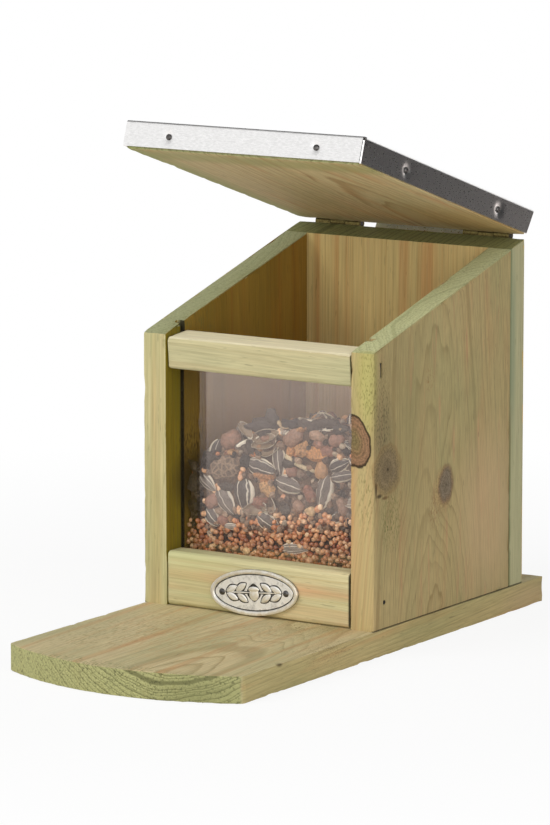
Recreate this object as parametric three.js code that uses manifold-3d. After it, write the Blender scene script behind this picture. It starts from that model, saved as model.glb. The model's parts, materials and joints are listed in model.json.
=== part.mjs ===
// Feeder box for squirrels. A softwood hopper stands on a base board with a porch in front.
// A clear pane closes its front, and a lid under a folded steel sheet swings on two butt hinges.
//
// Lengths are millimetres and angles radians. +X is to the right for someone who faces the
// window, +Y goes from the porch to the back and +Z is up. The origin is on the underside of
// the base board, in the middle of its length and width. The lid is modelled propped open.

import Module from 'manifold-3d';
import * as THREE from 'three';
import { mergeVertices } from 'three/addons/utils/BufferGeometryUtils.js';

const wasm = await Module();
wasm.setup();

const degree = Math.PI / 180;

// Boards of the body
const boardThickness = 12;
const bodyWidth = 120;
const bodyDepth = 127.3;
const frontHeight = 121.4;
const roofPitch = 15.6 * degree;
const arris = 0.5;

// Base board: the porch is measured on the middle line, from its tip to the box
const porchLength = 118.1;
const rearLedge = 18.6;
const noseBulge = 16.4;
const noseCornerRadius = 3;

// Window pane and its grooves in the sides
const paneThickness = 2;
const paneClearance = 0.3;
const grooveDepth = 4;
const grooveSetback = 12.2;

// Sill below the window and rail above it
const barEndGap = 0.5;
const sillHeight = 24.5;
const sillThickness = 11.7;
const sillRadius = 2;
const railDepth = 16.7;
const railHeight = 14.3;
const railRadius = 1.6;
const railTilt = 5 * degree;
const railSetback = 0.2;
const railDrop = 1.4;

// Lid board, measured shut where it overhangs the body
const lidOpening = 33.5 * degree;
const lidBoardThickness = 11.5;
const lidRise = 0.3;
const lidSideOverhang = 0.6;
const eavesOverhang = 15.9;

// Steel sheet folded over the lid board
const sheetThickness = 0.6;
const sheetGap = 0.3;
const sheetBend = 1.2;
const flangeHeight = 11.5;
const earLength = 10;
const rearOverhang = 3.2;
const lipDrop = 1.6;
const lipGapLeft = 7.5;
const lipGapRight = 0.8;

// Butt hinges
const hingeLength = 24;
const hingeInset = 20.6;
const leafHeight = 10.5;
const leafThickness = 0.9;
const leafCornerRadius = 1;
const leafGap = 0.3;
const pinRadius = 0.9;
const pinClearance = 0.25;
const knuckleCount = 3;
const knuckleGap = 0.3;

// Oval plate on the sill
const plateWidth = 45.5;
const plateHeight = 20.5;
const plateThickness = 0.9;
const plateRimWidth = 1.7;
const plateRimHeight = 0.6;
const plateRimEase = 0.3;
const plateGap = 0.3;
const plateTilt = 4.6 * degree;
const plateOffset = -1;
const plateCentreHeight = 10.9;
const platePinSpacing = 33.5;

// Fasteners: a head that is sunk has a depth, and one that stands proud has a thickness
const fastenerClearance = 0.3;
const domeCrownShare = 0.6;
const hingeScrew = { head: 2, depth: 1.2, shank: 1, length: 9, tip: 2 };
const baseScrew = { head: 3.5, depth: 2.8, shank: 1.75, length: 38, tip: 4 };
const brad = { head: 0.8, depth: 0.5, shank: 0.8, length: 30, tip: 2 };
const roofNail = { head: 1.5, thickness: 0.6, shank: 0.7, length: 11, tip: 2 };
const platePin = { head: 1.5, thickness: 0.7, shank: 0.7, length: 8, tip: 1.5 };
const staple = { crown: 5.8, wire: 1.1, length: 25, sink: 0.5 };

// Places of the fasteners, from the edges that they are measured to
const baseScrewSink = 0.4;
const baseScrewSideShares = [0.2, 0.8];
const baseScrewBackShare = 0.25;
const backBradShares = [0.15, 0.5, 0.85];
const hingeScrewShares = [-0.27, 0.27];
const stapleSetback = 5.7;
const stapleDrop = 7.7;
const sillBradSetback = 8.6;
const sillBradHeight = 11.8;
const roofNailFrontSpacing = 75.7;
const roofNailSideDistances = [27.4, 109.4];
const roofNailDrop = 6.3;

// Feed in the hopper: a bed of small grain, higher at the right, and a heap of large seed on it
// that falls away towards the left side
const feedGap = 0.3;
const bedHeight = 38;
const bedRise = 12;
const bedTiltShare = 0.5;
const bedDipShare = 0.2;
const heapHeight = 86;
const heapFall = 30;
const heapWave = 2;
const feedColumns = 14;
const feedRows = 14;

// Fineness
const noseSteps = 24;
const cornerSteps = 4;
const arrisSteps = 2;
const roundSteps = 12;
const knuckleSteps = 16;
const ovalSteps = 36;
const overrun = 2;

// Places that follow from the sizes above
const innerWidth = bodyWidth - 2 * boardThickness;
const sideDepth = bodyDepth - boardThickness;
const baseTop = boardThickness;
const baseLength = porchLength + bodyDepth + rearLedge;
const baseRear = baseLength / 2;
const baseFront = -baseRear;
const bodyRear = baseRear - rearLedge;
const bodyFront = bodyRear - bodyDepth;
const sideRear = bodyFront + sideDepth;
const sideCentre = (bodyWidth - boardThickness) / 2;

const grooveWidth = paneThickness + 2 * paneClearance;
const grooveFront = bodyFront + grooveSetback;
const paneFront = grooveFront + paneClearance;
const paneRear = paneFront + paneThickness;

const barLength = innerWidth - 2 * barEndGap;
const railFront = bodyFront + railSetback;
const railTop = baseTop + frontHeight - railDrop;

const barrelRadius = pinRadius + pinClearance + leafThickness;
const boreRadius = pinRadius + pinClearance;
const axisOffset = barrelRadius + leafGap;
const axisY = bodyRear + axisOffset;
const axisZ = slopeAt(axisY);
const hingeCentre = bodyWidth / 2 - hingeInset;

// In the lid's own frame the hinge axis is the origin and the lid reaches towards -Y.
const lidWidth = bodyWidth + 2 * lidSideOverhang;
const lidBack = -axisOffset;
const lidFront = lidBack - (bodyDepth + eavesOverhang) / Math.cos(roofPitch);
const lidTop = lidRise + lidBoardThickness;
const sheetTop = lidTop + sheetGap + sheetThickness;
const flangeFoot = sheetTop - flangeHeight;
const sheetInset = sheetThickness + sheetGap;
const earFront = lidFront + sheetInset;
const lidBoardFront = earFront + sheetInset;
const sheetRear = lidBack + rearOverhang;

// Height of the sloped top of the sides at a distance along the box
function slopeAt(y) {
  return baseTop + frontHeight + (y - bodyFront) * Math.tan(roofPitch);
}

// Solid for the joining and cutting below, from a closed geometry
function toSolid(geometry) {
  const bare = geometry.clone();
  bare.deleteAttribute('normal');
  bare.deleteAttribute('uv');
  const merged = mergeVertices(bare);
  const corners = merged.index.array;
  const kept = [];
  for (let i = 0; i < corners.length; i += 3) {
    const [a, b, c] = corners.slice(i, i + 3);
    if (a !== b && b !== c && c !== a) kept.push(a, b, c);
  }
  const vertProperties = new Float32Array(merged.attributes.position.array);
  const triVerts = new Uint32Array(kept);
  return new wasm.Manifold(new wasm.Mesh({ numProp: 3, vertProperties, triVerts }));
}

function toGeometry(solid) {
  const mesh = solid.getMesh();
  const geometry = new THREE.BufferGeometry();
  geometry.setAttribute('position', new THREE.BufferAttribute(mesh.vertProperties, 3));
  geometry.setIndex(new THREE.BufferAttribute(mesh.triVerts, 1));
  geometry.computeVertexNormals();
  return geometry;
}

function fuse(geometries) {
  return toGeometry(geometries.map(toSolid).reduce((sum, solid) => sum.add(solid)));
}

function cut(geometry, cutters) {
  const solids = cutters.map(toSolid);
  return toGeometry(solids.reduce((rest, solid) => rest.subtract(solid), toSolid(geometry)));
}

// Points of an arc from one angle to another
function arc(centreX, centreY, radius, from, to, steps) {
  return Array.from({ length: steps + 1 }, (_, step) => {
    const angle = from + ((to - from) * step) / steps;
    return new THREE.Vector2(centreX + radius * Math.cos(angle), centreY + radius * Math.sin(angle));
  });
}

function roundedRectangle(left, bottom, right, top, radius) {
  const turn = Math.PI / 2;
  return [
    ...arc(right - radius, bottom + radius, radius, -turn, 0, cornerSteps),
    ...arc(right - radius, top - radius, radius, 0, turn, cornerSteps),
    ...arc(left + radius, top - radius, radius, turn, 2 * turn, cornerSteps),
    ...arc(left + radius, bottom + radius, radius, 2 * turn, 3 * turn, cornerSteps),
  ];
}

function polygon(pairs) {
  return pairs.map(([x, y]) => new THREE.Vector2(x, y));
}

function ellipse(halfWidth, halfHeight) {
  return Array.from({ length: ovalSteps }, (_, step) => {
    const angle = (2 * Math.PI * step) / ovalSteps;
    return new THREE.Vector2(halfWidth * Math.cos(angle), halfHeight * Math.sin(angle));
  });
}

// Prism on an outline in X and Y, standing on Z = 0, with both ends eased
function prism(outline, length, ease = 0, holes = []) {
  const shape = new THREE.Shape(outline);
  shape.holes = holes.map((hole) => new THREE.Path(hole));
  const geometry = new THREE.ExtrudeGeometry(shape, {
    depth: length - 2 * ease,
    steps: 1,
    bevelEnabled: ease > 0,
    bevelThickness: ease,
    bevelSize: ease,
    bevelOffset: -ease,
    bevelSegments: arrisSteps,
  });
  return geometry.translate(0, 0, ease);
}

const alongX = new THREE.Vector3(1, 0, 0);
const alongY = new THREE.Vector3(0, 1, 0);
const alongZ = new THREE.Vector3(0, 0, 1);
const acrossWidth = new THREE.Matrix4().makeBasis(alongY, alongZ, alongX);
const towardsFront = new THREE.Matrix4().makeBasis(alongX, alongZ, alongY.clone().negate());

// Prism on an outline in Y and Z, from one X to another
function prismAcross(outline, from, to, ease = 0) {
  return prism(outline, to - from, ease).applyMatrix4(acrossWidth).translate(from, 0, 0);
}

// Prism on an outline in X and Z, from one Y forwards
function prismForward(outline, from, length, ease = 0, holes = []) {
  return prism(outline, length, ease, holes).applyMatrix4(towardsFront).translate(0, from, 0);
}

function block(left, front, bottom, right, rear, top) {
  return new THREE.BoxGeometry(right - left, rear - front, top - bottom).translate(
    (left + right) / 2,
    (front + rear) / 2,
    (bottom + top) / 2,
  );
}

// Turned body whose axis starts at a place and runs along a direction, into the wood
function turned(profile, place, direction) {
  const turn = new THREE.Quaternion().setFromUnitVectors(alongY, direction);
  const geometry = new THREE.LatheGeometry(polygon(profile), roundSteps);
  return geometry.applyQuaternion(turn).translate(place.x, place.y, place.z);
}

// Screw or brad whose head is sunk flush
function sunkFastener(size, place, direction) {
  const profile = [
    [0, 0],
    [size.head, 0],
    [size.shank, size.depth],
    [size.shank, size.length - size.tip],
    [0, size.length],
  ];
  return turned(profile, place, direction);
}

function sunkHole(size, place, direction) {
  const grow = fastenerClearance;
  const profile = [
    [0, -overrun],
    [size.head + grow, -overrun],
    [size.head + grow, 0],
    [size.shank + grow, size.depth],
    [size.shank + grow, size.length + grow],
    [0, size.length + grow],
  ];
  return turned(profile, place, direction);
}

// Nail or pin whose domed head stands on the surface
function proudFastener(size, place, direction) {
  const shoulder = size.thickness / 2;
  const crown = size.head * domeCrownShare;
  const profile = [
    [0, -size.thickness],
    [crown, -size.thickness],
    [size.head, -shoulder],
    [size.head, 0],
    [size.shank, 0],
    [size.shank, size.length - size.tip],
    [0, size.length],
  ];
  return turned(profile, place, direction);
}

function proudHole(size, place, direction) {
  const radius = size.shank + fastenerClearance;
  const profile = [
    [0, -overrun],
    [radius, -overrun],
    [radius, size.length + fastenerClearance],
    [0, size.length + fastenerClearance],
  ];
  return turned(profile, place, direction);
}

// Half heights of a staple's crown outside and inside its legs, and where the legs end
function stapleOutline(grow) {
  const outer = staple.crown / 2 + grow;
  const inner = staple.crown / 2 - staple.wire - grow;
  const tip = staple.length + grow;
  return { outer, inner, tip };
}

// Staple driven through a side: the crown stands upright in the outer face
function stapleAt(side) {
  const { outer, inner, tip } = stapleOutline(0);
  const outline = polygon([
    [0, -outer],
    [tip, -outer],
    [tip, -inner],
    [staple.wire, -inner],
    [staple.wire, inner],
    [tip, inner],
    [tip, outer],
    [0, outer],
  ]);
  return placeStaple(prism(outline, staple.wire).translate(0, 0, -staple.wire / 2), side);
}

// Slot that the staple's crown and legs sit in, open at the outer face
function stapleSlot(side) {
  const grow = fastenerClearance;
  const { outer, inner, tip } = stapleOutline(grow);
  const crownDepth = staple.wire + grow;
  const outline = polygon([
    [-staple.sink - overrun, -outer],
    [tip, -outer],
    [tip, -inner],
    [crownDepth, -inner],
    [crownDepth, inner],
    [tip, inner],
    [tip, outer],
    [-staple.sink - overrun, outer],
  ]);
  const width = staple.wire + 2 * grow;
  return placeStaple(prism(outline, width).translate(0, 0, -width / 2), side);
}

// Local X goes into the wood, local Y up and local Z along the box
function placeStaple(geometry, side) {
  const inwards = alongX.clone().multiplyScalar(-side);
  const sideways = new THREE.Vector3().crossVectors(inwards, alongZ);
  const turn = new THREE.Matrix4().makeBasis(inwards, alongZ, sideways);
  const x = side * (bodyWidth / 2 - staple.sink);
  const z = baseTop + frontHeight - stapleDrop;
  return geometry.applyMatrix4(turn).translate(x, bodyFront + stapleSetback, z);
}

// Places of the base screws' heads: two under each side and two under the back panel
function baseScrewPlaces() {
  const places = [];
  for (const side of [-1, 1]) {
    for (const share of baseScrewSideShares) {
      const y = bodyFront + share * sideDepth;
      places.push(new THREE.Vector3(side * sideCentre, y, baseScrewSink));
    }
    const x = side * baseScrewBackShare * bodyWidth;
    places.push(new THREE.Vector3(x, bodyRear - boardThickness / 2, baseScrewSink));
  }
  return places;
}

// Places of the brads that hold the back panel to the rear edges of the sides
function backBradPlaces() {
  const rearHeight = slopeAt(bodyRear) - baseTop;
  return [-1, 1].flatMap((side) =>
    backBradShares.map(
      (share) => new THREE.Vector3(side * sideCentre, bodyRear, baseTop + share * rearHeight),
    ),
  );
}

// Place of the brad that holds one end of the sill
function sillBradPlace(side) {
  const z = baseTop + sillBradHeight;
  return new THREE.Vector3((side * bodyWidth) / 2, bodyFront + sillBradSetback, z);
}

// Screws of one hinge leaf, from the hinge axis: upwards in the lid, downwards in the panel
function leafScrewPlaces(centre, upward) {
  const cutBack = barrelRadius + knuckleGap;
  const z = (upward * (cutBack + leafHeight)) / 2;
  return hingeScrewShares.map(
    (share) => new THREE.Vector3(centre + share * hingeLength, leafThickness - barrelRadius, z),
  );
}

// Roof nails with the direction into the board, in the lid's frame
function roofNailSeats() {
  const z = sheetTop - roofNailDrop;
  const frontFace = lidFront - sheetGap;
  const sideFace = lidWidth / 2 + sheetGap;
  const seats = [];
  for (const side of [-1, 1]) {
    const x = (side * roofNailFrontSpacing) / 2;
    seats.push({ place: new THREE.Vector3(x, frontFace, z), direction: alongY });
    for (const distance of roofNailSideDistances) {
      const place = new THREE.Vector3(side * sideFace, lidBack - distance, z);
      seats.push({ place, direction: alongX.clone().multiplyScalar(-side) });
    }
  }
  return seats;
}

function platePinPlaces() {
  const z = baseTop + plateCentreHeight;
  const surface = bodyFront - plateGap - plateThickness - plateGap;
  return [-1, 1].map((side) => {
    const reach = (side * platePinSpacing) / 2;
    const x = plateOffset + reach * Math.cos(plateTilt);
    return new THREE.Vector3(x, surface, z + reach * Math.sin(plateTilt));
  });
}

const upwards = alongZ;
const forwards = alongY.clone().negate();

// Base board: straight sides, square rear end and a front end that is one arc
function baseBoardGeometry() {
  const half = bodyWidth / 2;
  const radius = (half * half + noseBulge * noseBulge) / (2 * noseBulge);
  const arcY = baseFront + radius;
  const corner = noseCornerRadius;
  const cornerX = half - corner;
  const cornerY = arcY - Math.sqrt((radius - corner) ** 2 - cornerX ** 2);
  const tangent = Math.atan2(cornerY - arcY, cornerX);
  const outline = [
    ...polygon([[half, baseRear], [-half, baseRear]]),
    ...arc(-cornerX, cornerY, corner, -Math.PI, -Math.PI - tangent, cornerSteps),
    ...arc(0, arcY, radius, -Math.PI - tangent, tangent, noseSteps),
    ...arc(cornerX, cornerY, corner, tangent, 0, cornerSteps),
  ];
  const holes = baseScrewPlaces().map((place) => sunkHole(baseScrew, place, upwards));
  return cut(prism(outline, boardThickness, arris), holes);
}

function sideGeometry(side) {
  const outline = polygon([
    [bodyFront, baseTop],
    [sideRear, baseTop],
    [sideRear, slopeAt(sideRear)],
    [bodyFront, slopeAt(bodyFront)],
  ]);
  const outerX = bodyWidth / 2;
  const innerX = innerWidth / 2;
  const panel = prismAcross(outline, innerX, outerX, arris);
  if (side < 0) panel.translate(-innerX - outerX, 0, 0);
  const grooveFloor = side * (innerX + grooveDepth);
  const grooveMouth = side * (innerX - overrun);
  const groove = block(
    Math.min(grooveFloor, grooveMouth),
    grooveFront,
    baseTop - overrun,
    Math.max(grooveFloor, grooveMouth),
    grooveFront + grooveWidth,
    slopeAt(sideRear),
  );
  const inwards = alongX.clone().multiplyScalar(-side);
  const onThisSide = (place) => place.x * side > 0;
  const holes = [
    groove,
    stapleSlot(side),
    sunkHole(brad, sillBradPlace(side), inwards),
    ...baseScrewPlaces().filter(onThisSide).map((place) => sunkHole(baseScrew, place, upwards)),
    ...backBradPlaces().filter(onThisSide).map((place) => sunkHole(brad, place, forwards)),
  ];
  return cut(panel, holes);
}

function backPanelGeometry() {
  const outline = polygon([
    [sideRear, baseTop],
    [bodyRear, baseTop],
    [bodyRear, slopeAt(bodyRear)],
    [sideRear, slopeAt(sideRear)],
  ]);
  const panel = prismAcross(outline, -bodyWidth / 2, bodyWidth / 2, arris);
  const screws = [-1, 1].flatMap((side) => leafScrewPlaces(side * hingeCentre, -1));
  const holes = [
    ...baseScrewPlaces().map((place) => sunkHole(baseScrew, place, upwards)),
    ...backBradPlaces().map((place) => sunkHole(brad, place, forwards)),
    ...screws.map((place) => sunkHole(hingeScrew, place.add(hingeAxis), forwards)),
  ];
  return cut(panel, holes);
}

function sillGeometry() {
  const outline = roundedRectangle(
    bodyFront,
    baseTop,
    bodyFront + sillThickness,
    baseTop + sillHeight,
    sillRadius,
  );
  const bar = prismAcross(outline, -barLength / 2, barLength / 2, arris);
  const holes = [
    sunkHole(brad, sillBradPlace(-1), alongX),
    sunkHole(brad, sillBradPlace(1), alongX.clone().negate()),
    ...platePinPlaces().map((place) => proudHole(platePin, place, alongY)),
  ];
  return cut(bar, holes);
}

// Rail: its upper front edge is the corner that the tilt turns about
function railGeometry() {
  const outline = roundedRectangle(0, -railHeight, railDepth, 0, railRadius);
  const bar = prismAcross(outline, -barLength / 2, barLength / 2, arris);
  bar.rotateX(railTilt).translate(0, railFront, railTop);
  return cut(bar, [stapleSlot(-1), stapleSlot(1)]);
}

// Pane: it stands on the base board in both grooves and ends below the tilted rail
function paneGeometry() {
  const half = innerWidth / 2 + grooveDepth - paneClearance;
  const railFoot = railTop - railHeight * Math.cos(railTilt);
  const footY = railFront + railHeight * Math.sin(railTilt);
  const top = railFoot + (paneFront - footY) * Math.tan(railTilt) - paneClearance;
  return block(-half, paneFront, baseTop, half, paneRear, top);
}

// Lid board, in the lid's frame
function lidBoardGeometry() {
  const half = lidWidth / 2 - sheetInset;
  const outline = polygon([
    [-half, lidBoardFront],
    [half, lidBoardFront],
    [half, lidBack],
    [-half, lidBack],
  ]);
  const board = prism(outline, lidBoardThickness, arris).translate(0, 0, lidRise);
  const screws = [-1, 1].flatMap((side) => leafScrewPlaces(side * hingeCentre, 1));
  const holes = [
    ...screws.map((place) => sunkHole(hingeScrew, place, forwards)),
    ...roofNailSeats().map(({ place, direction }) => proudHole(roofNail, place, direction)),
  ];
  return cut(board, holes);
}

// Section of a sheet bent round one corner: two legs from the corner, bent on one radius
function bentLegs(cornerX, cornerY, endX, endY) {
  const stepX = Math.sign(endX - cornerX);
  const stepY = Math.sign(endY - cornerY);
  const centreX = cornerX + stepX * sheetBend;
  const centreY = cornerY + stepY * sheetBend;
  const from = Math.atan2(0, -stepX);
  const to = Math.atan2(-stepY, 0);
  const sweep = Math.atan2(Math.sin(to - from), Math.cos(to - from));
  const inside = sheetBend - sheetThickness;
  return [
    ...polygon([[cornerX, endY]]),
    ...arc(centreX, centreY, sheetBend, from, from + sweep, cornerSteps),
    ...polygon([[endX, cornerY], [endX, cornerY + stepY * sheetThickness]]),
    ...arc(centreX, centreY, inside, from + sweep, from, cornerSteps),
    ...polygon([[cornerX + stepX * sheetThickness, endY]]),
  ];
}

// Roof sheet, in the lid's frame: a top with two side flanges, whose ears turn in behind the
// front flange at the corners, and a lip that hangs behind the board between the hinges
function roofSheetGeometry() {
  const half = lidWidth / 2;
  const flangeFront = earFront + sheetBend;
  const bendFront = lidFront + sheetBend;
  const topOfEar = sheetTop - sheetBend - sheetGap;
  const lipFront = sheetRear - sheetThickness;
  const pieces = [];

  // Top between the bends, from the front bend to the rear edge
  const topHalf = half - sheetBend;
  const topFoot = sheetTop - sheetThickness;
  pieces.push(block(-topHalf, bendFront, topFoot, topHalf, sheetRear, sheetTop));

  // Side flanges with their bends, and ears that lap behind the front flange
  for (const side of [-1, 1]) {
    const section = bentLegs(side * half, sheetTop, side * (topHalf - overrun), flangeFoot);
    const flange = prismForward(section, sheetRear, sheetRear - flangeFront);
    const slantTop = sheetTop - sheetBend;
    const slant = prismAcross(
      polygon([
        [sheetRear, slantTop],
        [lidBack, flangeFoot],
        [lidBack, flangeFoot - overrun],
        [sheetRear + overrun, flangeFoot - overrun],
        [sheetRear + overrun, slantTop],
      ]),
      -half - overrun,
      half + overrun,
    );
    pieces.push(cut(flange, [slant]));
    const ear = bentLegs(side * half, earFront, side * (half - earLength), flangeFront + overrun);
    pieces.push(prism(ear, topOfEar - flangeFoot).translate(0, 0, flangeFoot));
  }

  // Front flange over the whole width
  const front = bentLegs(lidFront, sheetTop, bendFront + overrun, flangeFoot);
  pieces.push(prismAcross(front, -half, half));

  // Rear lip between the hinges
  const lipLeft = hingeLength / 2 - hingeCentre + lipGapLeft;
  const lipRight = hingeCentre - hingeLength / 2 - lipGapRight;
  const lip = bentLegs(sheetRear, sheetTop, lipFront - overrun, -lipDrop);
  pieces.push(prismAcross(lip, lipLeft, lipRight));

  const nails = roofNailSeats();
  const holes = nails.map(({ place, direction }) => proudHole(roofNail, place, direction));
  return cut(fuse(pieces), holes);
}

// Hinge leaf about its axis: a plate cut back from the barrel and rolled knuckles.
// The leaf with the end knuckles has the odd ones of the row, the other leaf the even ones.
function leafGeometry(upward, hasEndKnuckles) {
  const half = hingeLength / 2;
  const cutBack = barrelRadius + knuckleGap;
  const inner = barrelRadius - leafThickness;
  const round = leafCornerRadius;
  const plateOutline = [
    ...polygon([[half, cutBack]]),
    ...arc(half - round, leafHeight - round, round, 0, Math.PI / 2, cornerSteps),
    ...arc(round - half, leafHeight - round, round, Math.PI / 2, Math.PI, cornerSteps),
    ...polygon([[-half, cutBack]]),
  ];
  for (const point of plateOutline) point.y *= upward;
  const plate = prismForward(plateOutline, -inner, leafThickness);

  const lap = Math.acos(inner / barrelRadius);
  const root = cutBack + leafThickness;
  const rolled = [
    ...polygon([[-barrelRadius, root]]),
    ...arc(0, 0, barrelRadius, Math.PI, 3 * Math.PI - lap, knuckleSteps),
    ...polygon([[-inner, root]]),
  ];
  for (const point of rolled) point.y *= upward;
  const pitch = hingeLength / knuckleCount;
  const knuckles = [];
  for (let index = hasEndKnuckles ? 0 : 1; index < knuckleCount; index += 2) {
    const from = index * pitch - half + (index > 0 ? knuckleGap / 2 : 0);
    const last = index === knuckleCount - 1;
    const to = (index + 1) * pitch - half - (last ? 0 : knuckleGap / 2);
    knuckles.push(prismAcross(rolled, from, to));
  }
  const bore = pinShape(boreRadius, hingeLength + 2 * overrun);
  const screws = leafScrewPlaces(0, upward);
  const holes = screws.map((place) => sunkHole(hingeScrew, place, forwards));
  return cut(fuse([plate, ...knuckles]), [bore, ...holes]);
}

function pinShape(radius, length) {
  return new THREE.CylinderGeometry(radius, radius, length, knuckleSteps).rotateZ(Math.PI / 2);
}

// Oval plate in its own frame, facing -Y: a thin field inside a raised, eased rim
function plateGeometry() {
  const outer = ellipse(plateWidth / 2, plateHeight / 2);
  const inner = ellipse(plateWidth / 2 - plateRimWidth, plateHeight / 2 - plateRimWidth);
  const field = prismForward(outer, 0, plateThickness);
  const rim = prismForward(outer, 0, plateThickness + plateRimHeight, plateRimEase, [inner]);
  const holes = [-1, 1].map((side) => {
    const place = new THREE.Vector3((side * platePinSpacing) / 2, -plateThickness, 0);
    return proudHole(platePin, place, alongY);
  });
  return cut(fuse([field, rim]), holes);
}

// Upper surfaces of the feed: across is -1 at the left side and 1 at the right,
// back is 0 at the pane and 1 at the back panel
function bedTopAt(across, back) {
  const tilt = bedTiltShare * across * (1 - back);
  const dip = bedDipShare * Math.cos(Math.PI * across);
  return baseTop + bedHeight + bedRise * (tilt - dip);
}

function heapTopAt(across, back) {
  const towardsLeft = (1 - across) / 2;
  const wave = heapWave * Math.sin(Math.PI * (across + 2 * back));
  return baseTop + heapHeight - heapFall * towardsLeft ** 3 + wave;
}

function feedGeometry(bottomAt, topAt) {
  const front = paneRear + feedGap;
  const rear = sideRear - feedGap;
  const half = innerWidth / 2 - feedGap;
  const geometry = new THREE.BoxGeometry(2, 1, 1, feedColumns, feedRows, 1).translate(0, 0.5, 0);
  const position = geometry.attributes.position;
  for (let i = 0; i < position.count; i += 1) {
    const across = position.getX(i);
    const back = position.getY(i);
    const surface = position.getZ(i) > 0 ? topAt : bottomAt;
    position.setXYZ(i, half * across, front + (rear - front) * back, surface(across, back));
  }
  geometry.computeVertexNormals();
  return geometry;
}

const hingeAxis = new THREE.Vector3(0, axisY, axisZ);

// Finishes
function finish(color, roughness, metalness = 0) {
  return new THREE.MeshStandardMaterial({ color, roughness, metalness });
}

const greenPine = finish('#b5a67a', 0.75);
const yellowPine = finish('#c6bc86', 0.7);
const palePine = finish('#cfc79a', 0.7);
const brownPine = finish('#a88c5c', 0.75);
const clearPlastic = finish('#d8dde0', 0.05);
clearPlastic.transparent = true;
clearPlastic.opacity = 0.35;
const galvanisedSteel = finish('#b9bcbf', 0.35, 0.9);
const zincSteel = finish('#8d8f92', 0.4, 0.9);
const pewter = finish('#b9b7b2', 0.35, 0.85);
const millet = finish('#8f5536', 0.8);
const mixedSeed = finish('#6d5a48', 0.8);

function addPart(parent, name, geometry, material) {
  const mesh = new THREE.Mesh(geometry, material);
  mesh.name = name;
  parent.add(mesh);
  return mesh;
}

// Repeated pieces, one for each seat and numbered from 1
function addRow(parent, name, seats, material, makeGeometry) {
  seats.forEach((seat, index) => {
    addPart(parent, `${name}_${index + 1}`, makeGeometry(seat), material);
  });
}

// Assembly: what stands still hangs in the body, what swings hangs in the lid
const feeder = new THREE.Group();
const body = new THREE.Group();
const lid = new THREE.Group();
lid.position.copy(hingeAxis);
lid.rotation.x = roofPitch - lidOpening;
feeder.add(body, lid);

addPart(body, 'base_board', baseBoardGeometry(), greenPine);
addPart(body, 'left_side', sideGeometry(-1), yellowPine);
addPart(body, 'right_side', sideGeometry(1), yellowPine);
addPart(body, 'back_panel', backPanelGeometry(), brownPine);
addPart(body, 'front_sill', sillGeometry(), palePine);
addPart(body, 'top_rail', railGeometry(), palePine);
addPart(body, 'window_pane', paneGeometry(), clearPlastic);

addRow(body, 'base_screw', baseScrewPlaces(), zincSteel, (place) =>
  sunkFastener(baseScrew, place, upwards),
);
addRow(body, 'back_brad', backBradPlaces(), zincSteel, (place) =>
  sunkFastener(brad, place, forwards),
);
addRow(body, 'sill_brad', [-1, 1], zincSteel, (side) =>
  sunkFastener(brad, sillBradPlace(side), alongX.clone().multiplyScalar(-side)),
);
addRow(body, 'rail_staple', [-1, 1], zincSteel, stapleAt);

const plate = addPart(body, 'name_plate', plateGeometry(), pewter);
plate.position.set(plateOffset, bodyFront - plateGap, baseTop + plateCentreHeight);
plate.rotation.y = -plateTilt;
addRow(body, 'plate_pin', platePinPlaces(), pewter, (place) =>
  proudFastener(platePin, place, alongY),
);

const bedFloorAt = () => baseTop + feedGap;
const heapFloorAt = (across, back) => bedTopAt(across, back) + feedGap;
addPart(body, 'millet_bed', feedGeometry(bedFloorAt, bedTopAt), millet);
addPart(body, 'seed_heap', feedGeometry(heapFloorAt, heapTopAt), mixedSeed);

addPart(lid, 'lid_board', lidBoardGeometry(), brownPine);
addPart(lid, 'roof_sheet', roofSheetGeometry(), galvanisedSteel);
addRow(lid, 'roof_nail', roofNailSeats(), zincSteel, ({ place, direction }) =>
  proudFastener(roofNail, place, direction),
);

// The left hinge has its end knuckles on the panel leaf, the right one on the lid leaf
const panelHinges = new THREE.Group();
panelHinges.position.copy(hingeAxis);
body.add(panelHinges);
for (const [name, side] of [['left', -1], ['right', 1]]) {
  const seat = side * hingeCentre;
  const panelLeaf = addPart(panelHinges, `${name}_panel_leaf`, leafGeometry(-1, side < 0), zincSteel);
  const lidLeaf = addPart(lid, `${name}_lid_leaf`, leafGeometry(1, side > 0), zincSteel);
  const pin = addPart(panelHinges, `${name}_hinge_pin`, pinShape(pinRadius, hingeLength), zincSteel);
  for (const piece of [panelLeaf, lidLeaf, pin]) piece.position.setX(seat);
}
for (const [name, parent, upward] of [['panel', panelHinges, -1], ['lid', lid, 1]]) {
  const places = [-1, 1].flatMap((side) => leafScrewPlaces(side * hingeCentre, upward));
  addRow(parent, `${name}_leaf_screw`, places, zincSteel, (place) =>
    sunkFastener(hingeScrew, place, forwards),
  );
}

export default feeder;
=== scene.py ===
# %% [markdown]
# # A squirrel feeder box in pressure-treated pine
#
# The feeder is a small hopper of 12 mm boards on a longer base board. A clear pane closes the
# front, mixed feed fills the inside, and a lid under a folded galvanised sheet swings on two
# hinges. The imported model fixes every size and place. This lesson dresses it: worn boards with
# growth rings and knots, dented sheet metal, an oval plate, and feed made grain by grain.

# %% Frame and size
import json
import math
import random

import bmesh
import bpy
from mathutils import Euler, Matrix, Vector, noise
from mathutils.bvhtree import BVHTree


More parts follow.
